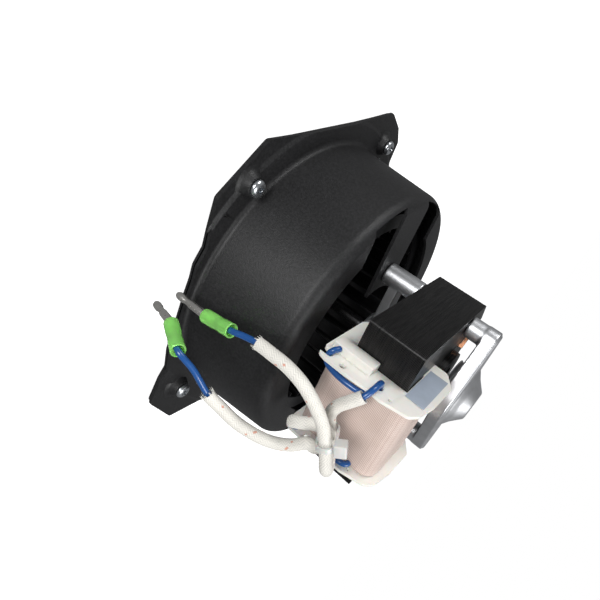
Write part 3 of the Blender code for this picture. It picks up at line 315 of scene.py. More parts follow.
def braid():
    f = Finish("braid", (0.8, 0.78, 0.72), 0.75, Sheen_Weight=0.25)
    # The strand attribute holds the tracer strand's own colour and the painted shade of the
    # weave's dips.
    shade = f.node("ShaderNodeAttribute", attribute_name="strand")
    f.colour(shade.outputs["Color"])
    return f.bump(f.noise(2600, 2.0, 0.6), 0.35, 0.0001).made


def plastic(name, colour, roughness, **sockets):
    f = Finish(name, colour, roughness, **sockets)
    low = tuple(0.86 * c for c in colour)
    f.colour(f.ramp(f.noise(160, 3.0), (0.3, low), (0.7, colour)))
    f.rough(f.spread(f.noise(400, 3.0), roughness - 0.06, roughness + 0.08))
    return f.bump(f.noise(900, 2.0), 0.06, 0.0001).made


POWDER = powder_black()
ZINC = metal("zinc", (0.68, 0.71, 0.74), 0.26, 900, 0.08)
ALUMINIUM = metal("cast_aluminium", (0.74, 0.75, 0.77), 0.38, 1100, 0.28)
LAMINATION = lamination()
COPPER = metal("copper", (0.75, 0.36, 0.2), 0.28, 600, 0.05)
BRONZE = metal("sintered_bronze", (0.45, 0.33, 0.17), 0.5, 1600, 0.4)
STEEL = metal("steel", (0.6, 0.6, 0.61), 0.22, 800, 0.06)
IVORY = ivory()
TAPE = coil_tape()
BRAID = braid()
TIN = metal("tin", (0.86, 0.84, 0.80), 0.27, 900, 0.1)
NYLON = plastic("nylon", (0.76, 0.74, 0.69), 0.45)
WIRE_BLUE = plastic("wire_blue", (0.012, 0.085, 0.30), 0.28, Coat_Weight=0.25)
TIE_WHITE = plastic("tie_white", (0.80, 0.80, 0.78), 0.32, Subsurface_Weight=0.2,
                    Subsurface_Scale=0.002, Transmission_Weight=0.15)
GREEN = plastic("insulator_green", (0.46, 0.98, 0.28), 0.16, Transmission_Weight=0.55, IOR=1.4)
# Painted shade: the wheel is coloured near black to stand in for the shade inside the drum.
WHEEL_BLACK_AS_SHADE = plastic("wheel_black", (0.014, 0.014, 0.015), 0.4)
LABEL = plastic("label_grey", (0.40, 0.46, 0.55), 0.42)
INK = plastic("ink_purple", (0.10, 0.05, 0.22), 0.5)


# ---------------------------------------------------------------- making meshes

def linked(name, mesh, place=FLAT):
    obj = bpy.data.objects.new(name, mesh)
    bpy.context.scene.collection.objects.link(obj)
    obj.matrix_world = place
    return obj


def smooth(mesh, angle=32):
    mesh.shade_smooth()
    mesh.set_sharp_from_angle(angle=math.radians(angle))


def mesh_of(name, build, place=FLAT, angle=32):
    mesh = bpy.data.meshes.new(name)
    shape = bmesh.new()
    build(shape)
    shape.to_mesh(mesh)
    shape.free()
    smooth(mesh, angle)
    return linked(name, mesh, place)


def applied(obj, angle=32):
    """The same object with its modifiers made part of its mesh, in the world's axes."""
    bpy.context.view_layer.update()
    graph = bpy.context.evaluated_depsgraph_get()
    mesh = bpy.data.meshes.new_from_object(obj.evaluated_get(graph))
    mesh.transform(obj.matrix_world)
    name = obj.name
    for modifier in list(obj.modifiers):
        tool = getattr(modifier, "object", None)
        if modifier.type == "BOOLEAN" and tool:
            bpy.data.objects.remove(tool, do_unlink=True)
    bpy.data.objects.remove(obj, do_unlink=True)
    smooth(mesh, angle)
    return linked(name, mesh)


def merged(name, *pieces):
    """One object from several, each applied."""
    shape = bmesh.new()
    for piece in pieces:
        piece = applied(piece)
        shape.from_mesh(piece.data)
        bpy.data.objects.remove(piece, do_unlink=True)
    mesh = bpy.data.meshes.new(name)
    shape.to_mesh(mesh)
    shape.free()
    smooth(mesh)
    return linked(name, mesh)


def boolean(target, operation, *tools):
    for tool in tools:
        modifier = target.modifiers.new(operation.lower(), "BOOLEAN")
        modifier.operation = operation
        modifier.object = tool
        modifier.solver = "EXACT"
        tool.hide_render = True
    return target


def cut(target, *tools):
    return boolean(target, "DIFFERENCE", *tools)


def join(target, *tools):
    return boolean(target, "UNION", *tools)


def box(name, low, high, bevel=0.0):
    low, high = Vector(low), Vector(high)

    def build(shape):
        bmesh.ops.create_cube(shape, size=1.0)
        bmesh.ops.scale(shape, vec=high - low, verts=shape.verts)

    obj = mesh_of(name, build, Matrix.Translation((low + high) / 2))
    if bevel:
        soften(obj, bevel)
    return obj


def soften(obj, width, segments=3, angle=35):
    modifier = obj.modifiers.new("soft_edges", "BEVEL")
    modifier.width = width
    modifier.segments = segments
    modifier.limit_method = "ANGLE"
    modifier.angle_limit = math.radians(angle)
    return obj


def cylinder(name, start, end, radius, end_radius=None, sides=48):
    start, end = Vector(start), Vector(end)
    axis = end - start

    def build(shape):
        bmesh.ops.create_cone(
            shape, cap_ends=True, segments=sides, radius1=radius,
            radius2=radius if end_radius is None else end_radius, depth=axis.length,
        )

    turn = axis.to_track_quat("Z", "Y").to_matrix().to_4x4()
    return mesh_of(name, build, Matrix.Translation((start + end) / 2) @ turn)


def turned(name, profile, steps=96, place=FLAT):
    """A closed profile of (radius, height) turned about Z, down its outer side first."""

    def build(shape):
        points = [shape.verts.new((radius, 0, height)) for radius, height in profile]
        for this, after in zip(points, points[1:] + points[:1]):
            shape.edges.new((this, after))

    obj = mesh_of(name, build, place)
    modifier = obj.modifiers.new("turn", "SCREW")
    modifier.steps = steps
    modifier.render_steps = steps
    modifier.use_merge_vertices = True
    modifier.merge_threshold = 0.00001
    return applied(obj)


def plate(name, outlines, low, high, place=FLAT):
    """A flat piece from low to high along the local z, bounded by one or more outlines."""
    data = bpy.data.curves.new(name, "CURVE")
    data.dimensions = "2D"
    data.fill_mode = "BOTH"
    data.extrude = (high - low) / 2
    for outline in outlines:
        spline = data.splines.new("POLY")
        spline.points.add(len(outline) - 1)
        for point, (x, y) in zip(spline.points, outline):
            point.co = (x, y, 0, 1)
        spline.use_cyclic_u = True
    guide = linked(name, data, place @ Matrix.Translation((0, 0, (low + high) / 2)))
    obj = applied(guide)
    shape = bmesh.new()
    shape.from_mesh(obj.data)
    bmesh.ops.remove_doubles(shape, verts=shape.verts, dist=0.000001)
    bmesh.ops.recalc_face_normals(shape, faces=shape.faces)
    shape.to_mesh(obj.data)
    shape.free()
    smooth(obj.data)
    return obj


def rounded(corners, radius, steps=6):
    """The outline through the corners with each one rounded."""
    points = []
    count = len(corners)
    for index, corner in enumerate(corners):
        here = Vector(corner[:2])
        own = corner[2] if len(corner) > 2 else radius
        back = Vector(corners[index - 1][:2]) - here
        ahead = Vector(corners[(index + 1) % count][:2]) - here
        half = back.angle(ahead) / 2
        reach = min(own / math.tan(half), 0.45 * back.length, 0.45 * ahead.length)
        if reach < 0.05 * MM:
            points.append(tuple(here))
            continue
        first = here + back.normalized() * reach
        last = here + ahead.normalized() * reach
        for step in range(steps + 1):
            share = step / steps
            points.append(tuple(first.lerp(here, share).lerp(here.lerp(last, share), share)))
    return points


def arc(radius, start, end, steps, centre=(0.0, 0.0)):
    points = []
    for step in range(steps + 1):
        angle = math.radians(start + (end - start) * step / steps)
        points.append((centre[0] + radius * math.cos(angle), centre[1] + radius * math.sin(angle)))
    return points


def ring_outline(radius, steps, centre=(0.0, 0.0)):
    return arc(radius, 0, 360 * (steps - 1) / steps, steps - 1, centre)


def polar(radius, degrees):
    return (radius * math.cos(math.radians(degrees)), radius * math.sin(math.radians(degrees)))


def swept(name, path, radii, sides=20, height=None, colour=None, hollow=0.0):
    """A round bar or sleeve along a path, with a radius for each point of it.

    height(u, v) raises the surface at distance u and turn v, and colour(u, v) tints it.
    """
    count = len(path)
    along = [(path[min(i + 1, count - 1)] - path[max(i - 1, 0)]).normalized()
             for i in range(count)]
    normal = along[0].orthogonal().normalized()
    rows, tints, distance = [], [], 0.0
    for index, point in enumerate(path):
        if index:
            distance += (point - path[index - 1]).length
            normal = (normal - along[index] * normal.dot(along[index])).normalized()
        side = along[index].cross(normal)
        row, tint = [], []
        for k in range(sides):
            v = k / sides
            rise = height(distance, v) if height else 0.0
            turn = 2 * math.pi * v
            out = normal * math.cos(turn) + side * math.sin(turn)
            row.append(point + out * (radii[index] + rise))
            tint.append(colour(distance, v) if colour else None)
        rows.append(row)
        tints.append(tint)
    if hollow:
        for index in range(count - 1, -1, -1):
            centre = path[index]
            rows.append([centre + (p - centre).normalized() * (radii[index] - hollow)
                         for p in rows[index]])
            tints.append(tints[index])

    def build(shape):
        made = [[shape.verts.new(p) for p in row] for row in rows]
        pairs = list(zip(made, made[1:]))
        if hollow:
            pairs.append((made[-1], made[0]))
        for low, high in pairs:
            for k in range(sides):
                after = (k + 1) % sides
                shape.faces.new((low[k], low[after], high[after], high[k]))
        if not hollow:
            shape.faces.new(list(reversed(made[0])))
            shape.faces.new(made[-1])

    obj = mesh_of(name, build, angle=50)
    if colour:
        layer = obj.data.color_attributes.new("strand", "FLOAT_COLOR", "POINT")
        flat = [tint for row in tints for tint in row]
        for item, tint in zip(layer.data, flat):
            item.color = (*tint, 1.0)
    return obj


def give(obj, finish, body, *replaced, slot=None):
    obj.data.materials.clear()
    obj.data.materials.append(finish)
    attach(obj, body)
    if replaced:
        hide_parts(*replaced)
    return obj


def dress(node, finish, slot):
    """A frame node that keeps its shape and takes a better finish."""
    obj = NODES[node]
    obj.data.materials.clear()
    obj.data.materials.append(finish)


# ---------------------------------------------------------------- leads

def weave(turns, pitch):
    """A two-over, two-under weave of two sets of strands, at distance u and turn v.

    It gives the upper strand's lift from 0 to 1, whether it is of the first set, and the numbers
    of the two strands that cross there.
    """

    def over(u, v):
        p, q = turns * v + u / pitch, turns * v - u / pitch
        lift = math.sin(math.pi * (p % 1.0)), math.sin(math.pi * (q % 1.0))
        first = (math.floor(p) - math.floor(q)) % 4 < 2
        return lift[0] if first else lift[1], first, math.floor(p) % turns, math.floor(q)
    return over


BRAID_TURNS, BRAID_PITCH, BRAID_DEPTH = 14, 1.25 * MM, 0.16 * MM
TRACER_STRAND = 3                               # the coloured strand of the first set
WEAVE = weave(BRAID_TURNS, BRAID_PITCH)


def braid_rise(u, v):
    return -BRAID_DEPTH * (1.0 - WEAVE(u, v)[0] ** 0.6)


def braid_tint_and_shade(u, v):
    lift, first, strand, other = WEAVE(u, v)
    # Painted shade: each strand is darker where it dips under the strands that cross it, and the
    # tracer strand's own colour takes the same painted shade.
    shade = 0.62 + 0.38 * lift ** 0.7
    if first and strand == TRACER_STRAND and other % 5 < 2:
        return (0.74 * shade, 0.36 * shade, 0.26 * shade)
    return (0.86 * shade, 0.835 * shade, 0.77 * shade)


def sleeve(letter, route, span):
    """The braided sleeve over the wire between two knots of its route, with a frayed end."""
    path = smooth_path(route, 0.33 * MM)
    low = min(range(len(path)), key=lambda i: (path[i] - route[span[0]]).length)
    high = min(range(len(path)), key=lambda i: (path[i] - route[span[1]]).length)
    kept = path[low:high + 1]
    obj = swept(f"braided_sleeve_{letter}", kept, [SLEEVE_RADIUS] * len(kept), 56, braid_rise,
                braid_tint_and_shade, SLEEVE_WALL)
    give(obj, BRAID, "frame", f"lead_{letter}_sleeve", slot="braid")
    give(frayed(letter, kept), BRAID, "frame", slot="braid")
    return obj


def frayed(letter, path):
    """Short loose fibres round the sleeve's free end."""
    end, along = path[-1], (path[-1] - path[-4]).normalized()
    across = along.orthogonal().normalized()
    fibres = []
    for _ in range(FIBRES):
        out = Matrix.Rotation(DICE.uniform(0, 2 * math.pi), 3, along) @ across
        start = end + out * (SLEEVE_RADIUS - 0.25 * MM) - along * 1.0 * MM
        reach = DICE.uniform(0.6, 1.7) * MM
        tip = start + along * (1.0 * MM + reach) + out * DICE.uniform(-0.1, 0.5) * MM
        middle = (start + tip) / 2 + out * 0.12 * MM
        fibres.append(swept("fibre", [start, middle, tip], [0.1 * MM, 0.09 * MM, 0.05 * MM], 5,
                            colour=lambda u, v: (0.84, 0.82, 0.76)))
    shape = bmesh.new()
    for fibre in fibres:
        shape.from_mesh(fibre.data)
        bpy.data.objects.remove(fibre, do_unlink=True)
    mesh = bpy.data.meshes.new("fibres")
    shape.to_mesh(mesh)
    shape.free()
    return linked(f"frayed_end_{letter}", mesh)


def lead(letter, knots, span, end, tip):
    """A wire with all that is on it: (wire, where it leaves the coil, length, other pieces)."""
    route = in_metres(knots)
    along = (end - route[-1]).normalized()
    length = (end - route[-1]).length
    wire_end = route[-1] + along * length * WIRE_IN_INSULATOR
    path = smooth_path([*route, wire_end], 0.9 * MM)
    data = bpy.data.curves.new(f"wire_{letter}", "CURVE")
    data.dimensions = "3D"
    data.bevel_depth = WIRE_RADIUS
    data.bevel_resolution = 5
    data.use_fill_caps = True
    spline = data.splines.new("POLY")
    spline.points.add(len(path) - 1)
    for point, place in zip(spline.points, path):
        point.co = (*place, 1)
    wire = linked(f"wire_{letter}", data)
    give(wire, WIRE_BLUE, "frame", f"lead_{letter}_wire", slot="wire_blue")
    pieces = [sleeve(letter, route, span), bpy.data.objects[f"frayed_end_{letter}"]]
    pieces += [insulator(letter, route[-1], end), bullet(letter, wire_end + along * GAP, end, tip)]
    total = sum((b - a).length for a, b in zip(path, path[1:]))
    return wire, path[0], total, pieces


def insulator(letter, start, end):
    """The soft insulator over the crimp, with a waist moulded round its middle."""
    length = (end - start).length
    outer, bore, lip = 3.0 * MM, 2.3 * MM, 0.25 * MM
    profile = [(bore + lip, length), (outer - lip, length), (outer, length - lip)]
    profile += [(outer, 0.62 * length), (outer - 0.12 * MM, 0.60 * length)]
    profile += [(outer - 0.12 * MM, 0.34 * length), (outer, 0.32 * length)]
    profile += [(outer, lip), (outer - lip, 0.0), (bore + lip, 0.0), (bore, lip),
                (bore, length - lip)]
    turn = (end - start).normalized().to_track_quat("Z", "Y").to_matrix().to_4x4()
    obj = turned(f"green_insulator_{letter}", profile, 48, Matrix.Translation(start) @ turn)
    return give(obj, GREEN, "frame", f"insulator_{letter}", slot="insulator_green")


def bullet(letter, crimp, mouth, tip):
    """The bullet terminal: a pinched crimp barrel, a collar, and a pin with a rounded nose."""
    path, radii = [], []
    for step in range(25):
        share = step / 24
        path.append(crimp.lerp(mouth, share))
        pinch = 0.35 * MM * math.exp(-((share - 0.3) / 0.12) ** 2)
        pinch += 0.25 * MM * math.exp(-((share - 0.75) / 0.08) ** 2)
        radii.append(1.75 * MM - pinch)
    shape = ((0.03, 1.78), (0.25, 1.72), (0.50, 1.66), (0.60, 1.34), (0.68, 1.34), (0.74, 1.72),
             (0.88, 1.76), (0.95, 1.55), (1.0, 1.05))
    for share, radius in shape:
        path.append(mouth.lerp(tip, share))
        radii.append(radius * MM)
    obj = swept(f"bullet_terminal_{letter}", path, radii, 32)
    return give(obj, TIN, "frame", f"bullet_{letter}", slot="tin")


def cable_tie():
    """A strap round the bundle, flat across the leads, and its slotted head."""
    place = Matrix((TIE_ACROSS, TIE_ALONG.cross(TIE_ACROSS), TIE_ALONG)).transposed().to_4x4()
    place = Matrix.Translation(TIE_CENTRE) @ place
    inner = SLEEVE_RADIUS + 1.5 * GAP
    outer = inner + TIE_THICKNESS
    rings = []
    for radius in (outer, inner):
        rings.append(arc(radius, -90, 90, 20, (STRAND_OFFSET, 0))
                     + arc(radius, 90, 270, 20, (-STRAND_OFFSET, 0)))
    strap = plate("strap", rings, -TIE_HALF_WIDTH, TIE_HALF_WIDTH, place)
    strap = soften(strap, 0.2 * MM, 2, 50)
    low = Vector((-STRAND_OFFSET - 3.6 * MM, inner + 0.2 * MM, -2.6 * MM))
    high = Vector((-STRAND_OFFSET + 2.0 * MM, inner + 5.2 * MM, 2.6 * MM))
    head = box("head", low, high, 0.5 * MM)
    slot_low = Vector((low.x + 1.2 * MM, inner + 1.2 * MM, -1.3 * MM))
    slot_high = Vector((low.x + 3.4 * MM, inner + 6.0 * MM, 1.3 * MM))
    slot_cut = box("slot", slot_low, slot_high)
    head = applied(cut(applied(head), applied(slot_cut)))
    head.matrix_world = place
    obj = merged("tie", strap, head)
    return give(obj, TIE_WHITE, "frame", "cable_tie", slot="tie_white")


TIE = cable_tie()
for name, knots, span, end, tip in (
    ("a", LEAD_A, SLEEVED_A, END_A, TIP_A), ("b", LEAD_B, SLEEVED_B, END_B, TIP_B),
):
    cord, leaves, total, pieces = lead(name, knots, span, end, tip)
    if name == "a":
        pieces.append(TIE)
    tuple(leaves)
    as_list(pieces)
for name, knots in (("a", JUMPER_A), ("b", JUMPER_B)):
    way = smooth_path(in_metres(knots), 0.6 * MM)
    jumper = swept(f"jumper_{name}", way, [WIRE_RADIUS] * len(way), 20)
    give(jumper, WIRE_BLUE, "frame", f"coil_jumper_{name}", slot="wire_blue")


# ---------------------------------------------------------------- housing and plate

def housing_profile():
    """The pressing cut through its axis: down the outside, then back up the inside."""
    fillet, base, land = 6.0 * MM, 2.5 * MM, 1.2 * MM
    corner = DRUM_RADIUS - fillet
    foot, land_top = FOOT_RADIUS + base, FLANGE_TOP + land
    land_edge, edge = foot + 8.0 * MM, FOOT_RADIUS + 32.0 * MM
    outside = [(24.5 * MM, FACE_TOP)]
    outside += arc(fillet, 90, 4, 14, (corner, FACE_TOP - fillet))
    outside += arc(base, 184, 270, 8, (foot, land_top + base))
    outside += arc(1.4 * MM, 90, 45, 3, (land_edge - 0.6 * MM, land_top - 1.4 * MM))
    outside += arc(1.4 * MM, 225, 270, 3, (land_edge + 2.2 * MM, FLANGE_TOP + 1.4 * MM))
    outside += [(edge, FLANGE_TOP)]
    inside = [(edge, FLANGE_UNDER), (land_edge + land, FLANGE_UNDER)]
    inside += [(land_edge - land, land_top - SHEET)]
    inside += arc(base + SHEET, 270, 184, 8, (foot, land_top + base))
    inside += arc(fillet - SHEET, 4, 90, 12, (corner, FACE_TOP - fillet))
    inside.append((24.5 * MM, FACE_UNDER))
    return outside + inside


def flange_outline(inset=0.0):
    corners = [polar(FOOT_RADIUS + reach * MM - inset, angle) for angle, reach in FLANGE_EDGE]
    return rounded(corners, 3.0 * MM, 8)


def window_outline(side):
    """One opening of the end face, between the two arms that carry the motor."""
    notch, half, width, window = 71.5 * MM, 34.0 * MM, 11.5 * MM, 56.5 * MM
    low = math.degrees(math.asin(width / notch))
    high = math.degrees(math.asin(half / notch))
    inner = math.degrees(math.asin(half / window))
    outline = arc(notch, low, high, 10) + arc(window, inner, 180 - inner, 48)
    outline += arc(notch, 180 - high, 180 - low, 10)
    if side < 0:
        outline = [(x, -y) for x, y in reversed(outline)]
    return outline


def boss_profile():
    """A drawn boss with a soft foot and shoulder, from its hole outwards and down."""
    hole, top, base = BOLT_HOLE, 4.6 * MM, 6.4 * MM
    rise = FLANGE_TOP + 4.2 * MM
    low = FLANGE_UNDER + SHEET / 4
    return [(hole, rise), (top - 0.7 * MM, rise), (top - 0.2 * MM, rise - 0.2 * MM),
            (top + 0.1 * MM, rise - 0.8 * MM), (base - 0.5 * MM, FLANGE_TOP + 1.3 * MM),
            (base + 0.3 * MM, FLANGE_TOP + 0.5 * MM), (base + 1.6 * MM, FLANGE_TOP + 0.05 * MM),
            (base + 1.6 * MM, low), (hole, low)]


def bead(side):
    """A pressed stiffening bead beside the third boss."""
    angle = BOSS_ANGLES[2]
    radial, along = Vector((*polar(1.0, angle), 0)), Vector((*polar(1.0, angle + 90), 0))
    centre = (BOSS_CIRCLE - 2.5 * MM) * radial + side * 17.0 * MM * along
    centre.z = FLANGE_TOP

    def build(shape):
        bmesh.ops.create_uvsphere(shape, u_segments=40, v_segments=20, radius=1.0)
        bmesh.ops.scale(shape, vec=Vector((4.8, 19.5, 2.4)) * MM / 2, verts=shape.verts)

    return mesh_of("bead", build, Matrix.Translation(centre)
                   @ Matrix.Rotation(math.radians(angle), 4, "Z"))


def make_housing():
    shell = turned("drum_housing", housing_profile(), 180)
    trim = plate("trim", [flange_outline()], -SHEET, 60 * MM)
    shell = applied(boolean(shell, "INTERSECT", trim))
    for side in (1, -1):
        cut(shell, plate("window", [window_outline(side)], 40 * MM, 60 * MM))
    for side in (1, -1):
        x = side * PILLAR_X
        cut(shell, cylinder("way", (x, 0, 45 * MM), (x, 0, 60 * MM), BOLT_HOLE))
    for angle in BOSS_ANGLES:
        x, y = polar(BOSS_CIRCLE, angle)
        cut(shell, cylinder("hole", (x, y, -SHEET), (x, y, 12 * MM), 2.8 * MM))
        join(shell, turned("boss", boss_profile(), 56, Matrix.Translation((x, y, 0))))
    join(shell, bead(-1), bead(1))
    shell = applied(shell, 28)
    give(shell, POWDER, "frame", "housing", slot="powder_black")


def make_back_plate():
    outlines = [flange_outline(1.0 * MM), ring_outline(66.0 * MM, 160)]
    outlines += [ring_outline(BOLT_HOLE, 32, polar(BOSS_CIRCLE, a)) for a in BOSS_ANGLES]
    obj = plate("rear_plate", outlines, 0.0, PLATE_SHEET)
    give(obj, POWDER, "frame", "back_plate", slot="powder_black")


def cross_recess(centre, depth):
    """Two tapered bars that cut a cross recess down into a head."""
    bars = []
    for turn in (20, 110):
        bar = box("bar", (-1.9 * MM, -0.42 * MM, -depth), (1.9 * MM, 0.42 * MM, 1.5 * MM))
        bar.matrix_world = (Matrix.Translation(centre)
                            @ Matrix.Rotation(math.radians(turn), 4, "Z") @ bar.matrix_world)
        bars.append(bar)
    bars.append(cylinder("well", Vector(centre) - Vector((0, 0, depth * 1.15)),
                         Vector(centre) + Vector((0, 0, 1.0 * MM)), 0.55 * MM, 1.25 * MM, 24))
    return bars


def make_screws():
    for index, angle in enumerate(BOSS_ANGLES, 1):
        x, y = polar(BOSS_CIRCLE, angle)
        seat = 7.5 * MM
        crown = seat + 2.4 * MM
        profile = [(0.15 * MM, crown)]
        profile += [(r * MM, crown - d * MM) for r, d in
                    ((1.2, 0.03), (2.0, 0.12), (2.7, 0.32), (3.3, 0.68), (3.7, 1.15), (3.88, 1.7),
                     (3.9, 2.2), (3.8, 2.4))]
        profile += [(2.0 * MM, seat), (2.0 * MM, 0.2 * MM), (0.15 * MM, 0.2 * MM)]
        screw = turned(f"pan_screw_{index}", profile, 56, Matrix.Translation((x, y, 0)))
        screw = applied(cut(screw, *cross_recess((x, y, crown), 1.3 * MM)))
        give(screw, ZINC, "frame", f"flange_screw_{index}", slot="zinc")


make_housing()
make_back_plate()
make_screws()


# ---------------------------------------------------------------- brackets

def cast(obj, voxel=0.45 * MM, rounds=5):
    """Softens joined shapes into one casting with rounded edges."""
    remesh = obj.modifiers.new("cast", "REMESH")
    remesh.mode = "VOXEL"
    remesh.voxel_size = voxel
    ease = obj.modifiers.new("ease", "SMOOTH")
    ease.factor = 0.5
    ease.iterations = rounds
    return applied(obj, 60)


def pocket(low, high, through):
    """Cutters for a bearing's seat and for the shaft's way through it."""
    return (cylinder("pocket", (0, 0, low), (0, 0, high), 6.3 * MM),
            cylinder("passage", (0, 0, through[0]), (0, 0, through[1]), 3.6 * MM))


def make_front_bracket():
    low, high = 55.8 * MM, 67.0 * MM
    obj = cylinder("front_casting", (0, 0, low), (0, 0, high), 9.5 * MM)
    join(obj, box("bridge", (-PILLAR_X, -4.5 * MM, 58.5 * MM), (PILLAR_X, 4.5 * MM, 63.5 * MM)))
    for side in (-1, 1):
        x = side * PILLAR_X
        join(obj, cylinder("pillar", (x, 0, FRONT_PILLAR_BOTTOM), (x, 0, FRONT_PILLAR_TOP),
                           PILLAR_RADIUS))
    obj = cast(applied(obj))
    for side in (-1, 1):
        x = side * PILLAR_X
        cut(obj, cylinder("way", (x, 0, 50 * MM), (x, 0, 75 * MM), BOLT_HOLE))
    cut(obj, *pocket(57.5 * MM, 75 * MM, (50 * MM, 75 * MM)))
    give(applied(obj, 40), ALUMINIUM, "frame", "front_bracket", slot="cast_aluminium")


def lozenge(middle, end, steps):
    """The outline of an arm, wide round the shaft and narrow round each pillar."""
    lean = math.degrees(math.asin((middle - end) / PILLAR_X))
    turn = 90 - lean
    return (arc(end, -turn, turn, steps, (PILLAR_X, 0)) + arc(middle, turn, 180 - turn, steps)
            + arc(end, 180 - turn, 180 + turn, steps, (-PILLAR_X, 0))
            + arc(middle, 180 + turn, 360 - turn, steps))


def make_rear_bracket():
    bottom = REAR_PILLAR_TOP - 6.0 * MM
    obj = plate("rear_casting", [lozenge(19.0 * MM, PILLAR_RADIUS, 20)], bottom, REAR_PILLAR_TOP)
    top = plate("crown", [lozenge(17.2 * MM, PILLAR_RADIUS - 1.3 * MM, 20)],
                REAR_PILLAR_TOP - 1.0 * MM, REAR_PILLAR_TOP + 0.75 * MM)
    profile = [
        (2.0 * MM, 121.0 * MM), (7.5 * MM, 121.0 * MM), (12.5 * MM, 116.7 * MM),
        (16.0 * MM, 114.5 * MM), (16.0 * MM, 110.3 * MM), (12.5 * MM, 108.8 * MM),
        (15.5 * MM, 104.5 * MM), (2.0 * MM, 104.5 * MM),
    ]
    join(obj, top, turned("boss", profile, 64))
    for side in (-1, 1):
        x = side * PILLAR_X
        join(obj, cylinder("pillar", (x, 0, 99.6 * MM), (x, 0, 110 * MM),
                           PILLAR_RADIUS - 0.25 * MM))
    obj = cast(applied(obj))
    for side in (-1, 1):
        x = side * PILLAR_X
        cut(obj, cylinder("socket", (x, 0, 95 * MM), (x, 0, 111.3 * MM), BOLT_HOLE))
    cut(obj, *pocket(95 * MM, 114.0 * MM, (95 * MM, 125 * MM)))
    give(applied(obj, 40), ALUMINIUM, "frame", "rear_bracket", slot="cast_aluminium")


make_front_bracket()
make_rear_bracket()


# ---------------------------------------------------------------- stack, bobbin and winding

def stack_outlines():
    side, leg, end, back, chamfer = 39.5 * MM, 22.2 * MM, 53.7 * MM, 30.0 * MM, 12.5 * MM
    depth = 24.5 * MM
    corners = [
        (side, -end, 2.0 * MM), (side, back - chamfer), (side - chamfer, back),
        (-side + chamfer, back), (-side, back - chamfer), (-side, -end, 2.0 * MM),
        (-leg, -end, 0.0), (-leg, -depth, 0.0), (leg, -depth, 0.0), (leg, -end, 0.0),
    ]
    outlines = [rounded(corners, 3.0 * MM, 6), ring_outline(19.4 * MM, 72)]
    outlines += [ring_outline(BOLT_HOLE, 24, (s * PILLAR_X, 0)) for s in (-1, 1)]
    return outlines


def laminated(name, outlines, low, high, pitch, node):
    """A stack of thin sheets, each a few hundredths of a millimetre out of line."""
    count = round((high - low) / pitch)
    pitch = (high - low) / count
    sheet = plate("sheet", outlines, 0.0, pitch * 0.86)
    slip = 0.05
    shape = bmesh.new()
    for index in range(count):
        copy = sheet.data.copy()
        shift = Vector((DICE.uniform(-slip, slip) * MM, DICE.uniform(-slip, slip) * MM, 0))
        if index in (0, count - 1):
            shift = Vector((0, 0, 0))
        copy.transform(Matrix.Translation(shift + Vector((0, 0, low + index * pitch))))
        shape.from_mesh(copy)
        bpy.data.meshes.remove(copy)
    bpy.data.objects.remove(sheet, do_unlink=True)
    mesh = bpy.data.meshes.new(name)
    shape.to_mesh(mesh)
    shape.free()
    smooth(mesh)
    give(linked(name, mesh), LAMINATION, "frame", node, slot="lamination")


laminated("sheet_stack", stack_outlines(), STACK_BOTTOM, STACK_TOP, 0.5 * MM, "stator_stack")


def bobbin_outline():
    low, high = BOBBIN_BOTTOM, BOBBIN_TOP
    notch, slot = -64.2 * MM, 1.7 * MM
    top = low + 5.8 * MM
    corners = [
        (-25.0, low + 4.0 * MM), (-25.0, high - 4.0 * MM), (-33.0, high + 1.4 * MM),
        (-50.3, high + 1.2 * MM), (-60.5, high - 0.4 * MM), (-65.0, high - 3.2 * MM),
        (-66.4, high - 9.7 * MM), (-67.6, high - 14.7 * MM), (-67.3, high - 21.7 * MM),
        (-68.3, high - 32.7 * MM), (-68.3, high - 41.7 * MM), (-67.4, low + 1.6 * MM),
    ]
    outline = [(y * MM, z) for y, z in corners]
    outline += [(notch - slot, low + 0.4 * MM), (notch - slot, top), (notch + slot, top),
                (notch + slot, low), (-31.0 * MM, low)]
    return rounded(outline, 3.0 * MM, 6)


def rectangle(low, high):
    return [(low[0], low[1]), (high[0], low[1]), (high[0], high[1]), (low[0], high[1])]


def make_bobbin():
    inner = rectangle((-53.7 * MM, 72.8 * MM), (-37.1 * MM, 99.6 * MM))
    outer = rectangle((-54.7 * MM, 71.8 * MM), (-36.1 * MM, 100.6 * MM))
    pieces = [plate("tube", [outer, inner], -20.7 * MM, 20.7 * MM, ACROSS_X)]
    for side in (-1, 1):
        holes = [ring_outline(1.4 * MM, 20, (-65.5 * MM, BOBBIN_BOTTOM + 11.8 * MM)),
                 ring_outline(0.8 * MM, 16, (-64.3 * MM, BOBBIN_BOTTOM + 33.8 * MM)), inner]
        if side < 0:
            holes.append(ring_outline(1.7 * MM, 24, (-62.0 * MM, 91.1 * MM)))
        near, far = sorted((side * FLANGE_IN_X, side * FLANGE_OUT_X))
        pieces.append(soften(plate("cheek", [bobbin_outline(), *holes], near, far, ACROSS_X),
                             0.3 * MM, 3, 50))
        x = sorted((side * (FLANGE_OUT_X - 0.2 * MM), side * (FLANGE_OUT_X + 4.0 * MM)))
        pieces.append(box("block", (x[0], -60.6 * MM, BOBBIN_BOTTOM + 2.5 * MM),
                          (x[1], -54.0 * MM, BOBBIN_BOTTOM + 21.8 * MM), 0.5 * MM))
    give(merged("coil_bobbin", *pieces), IVORY, "frame", "bobbin", slot="bobbin_ivory")


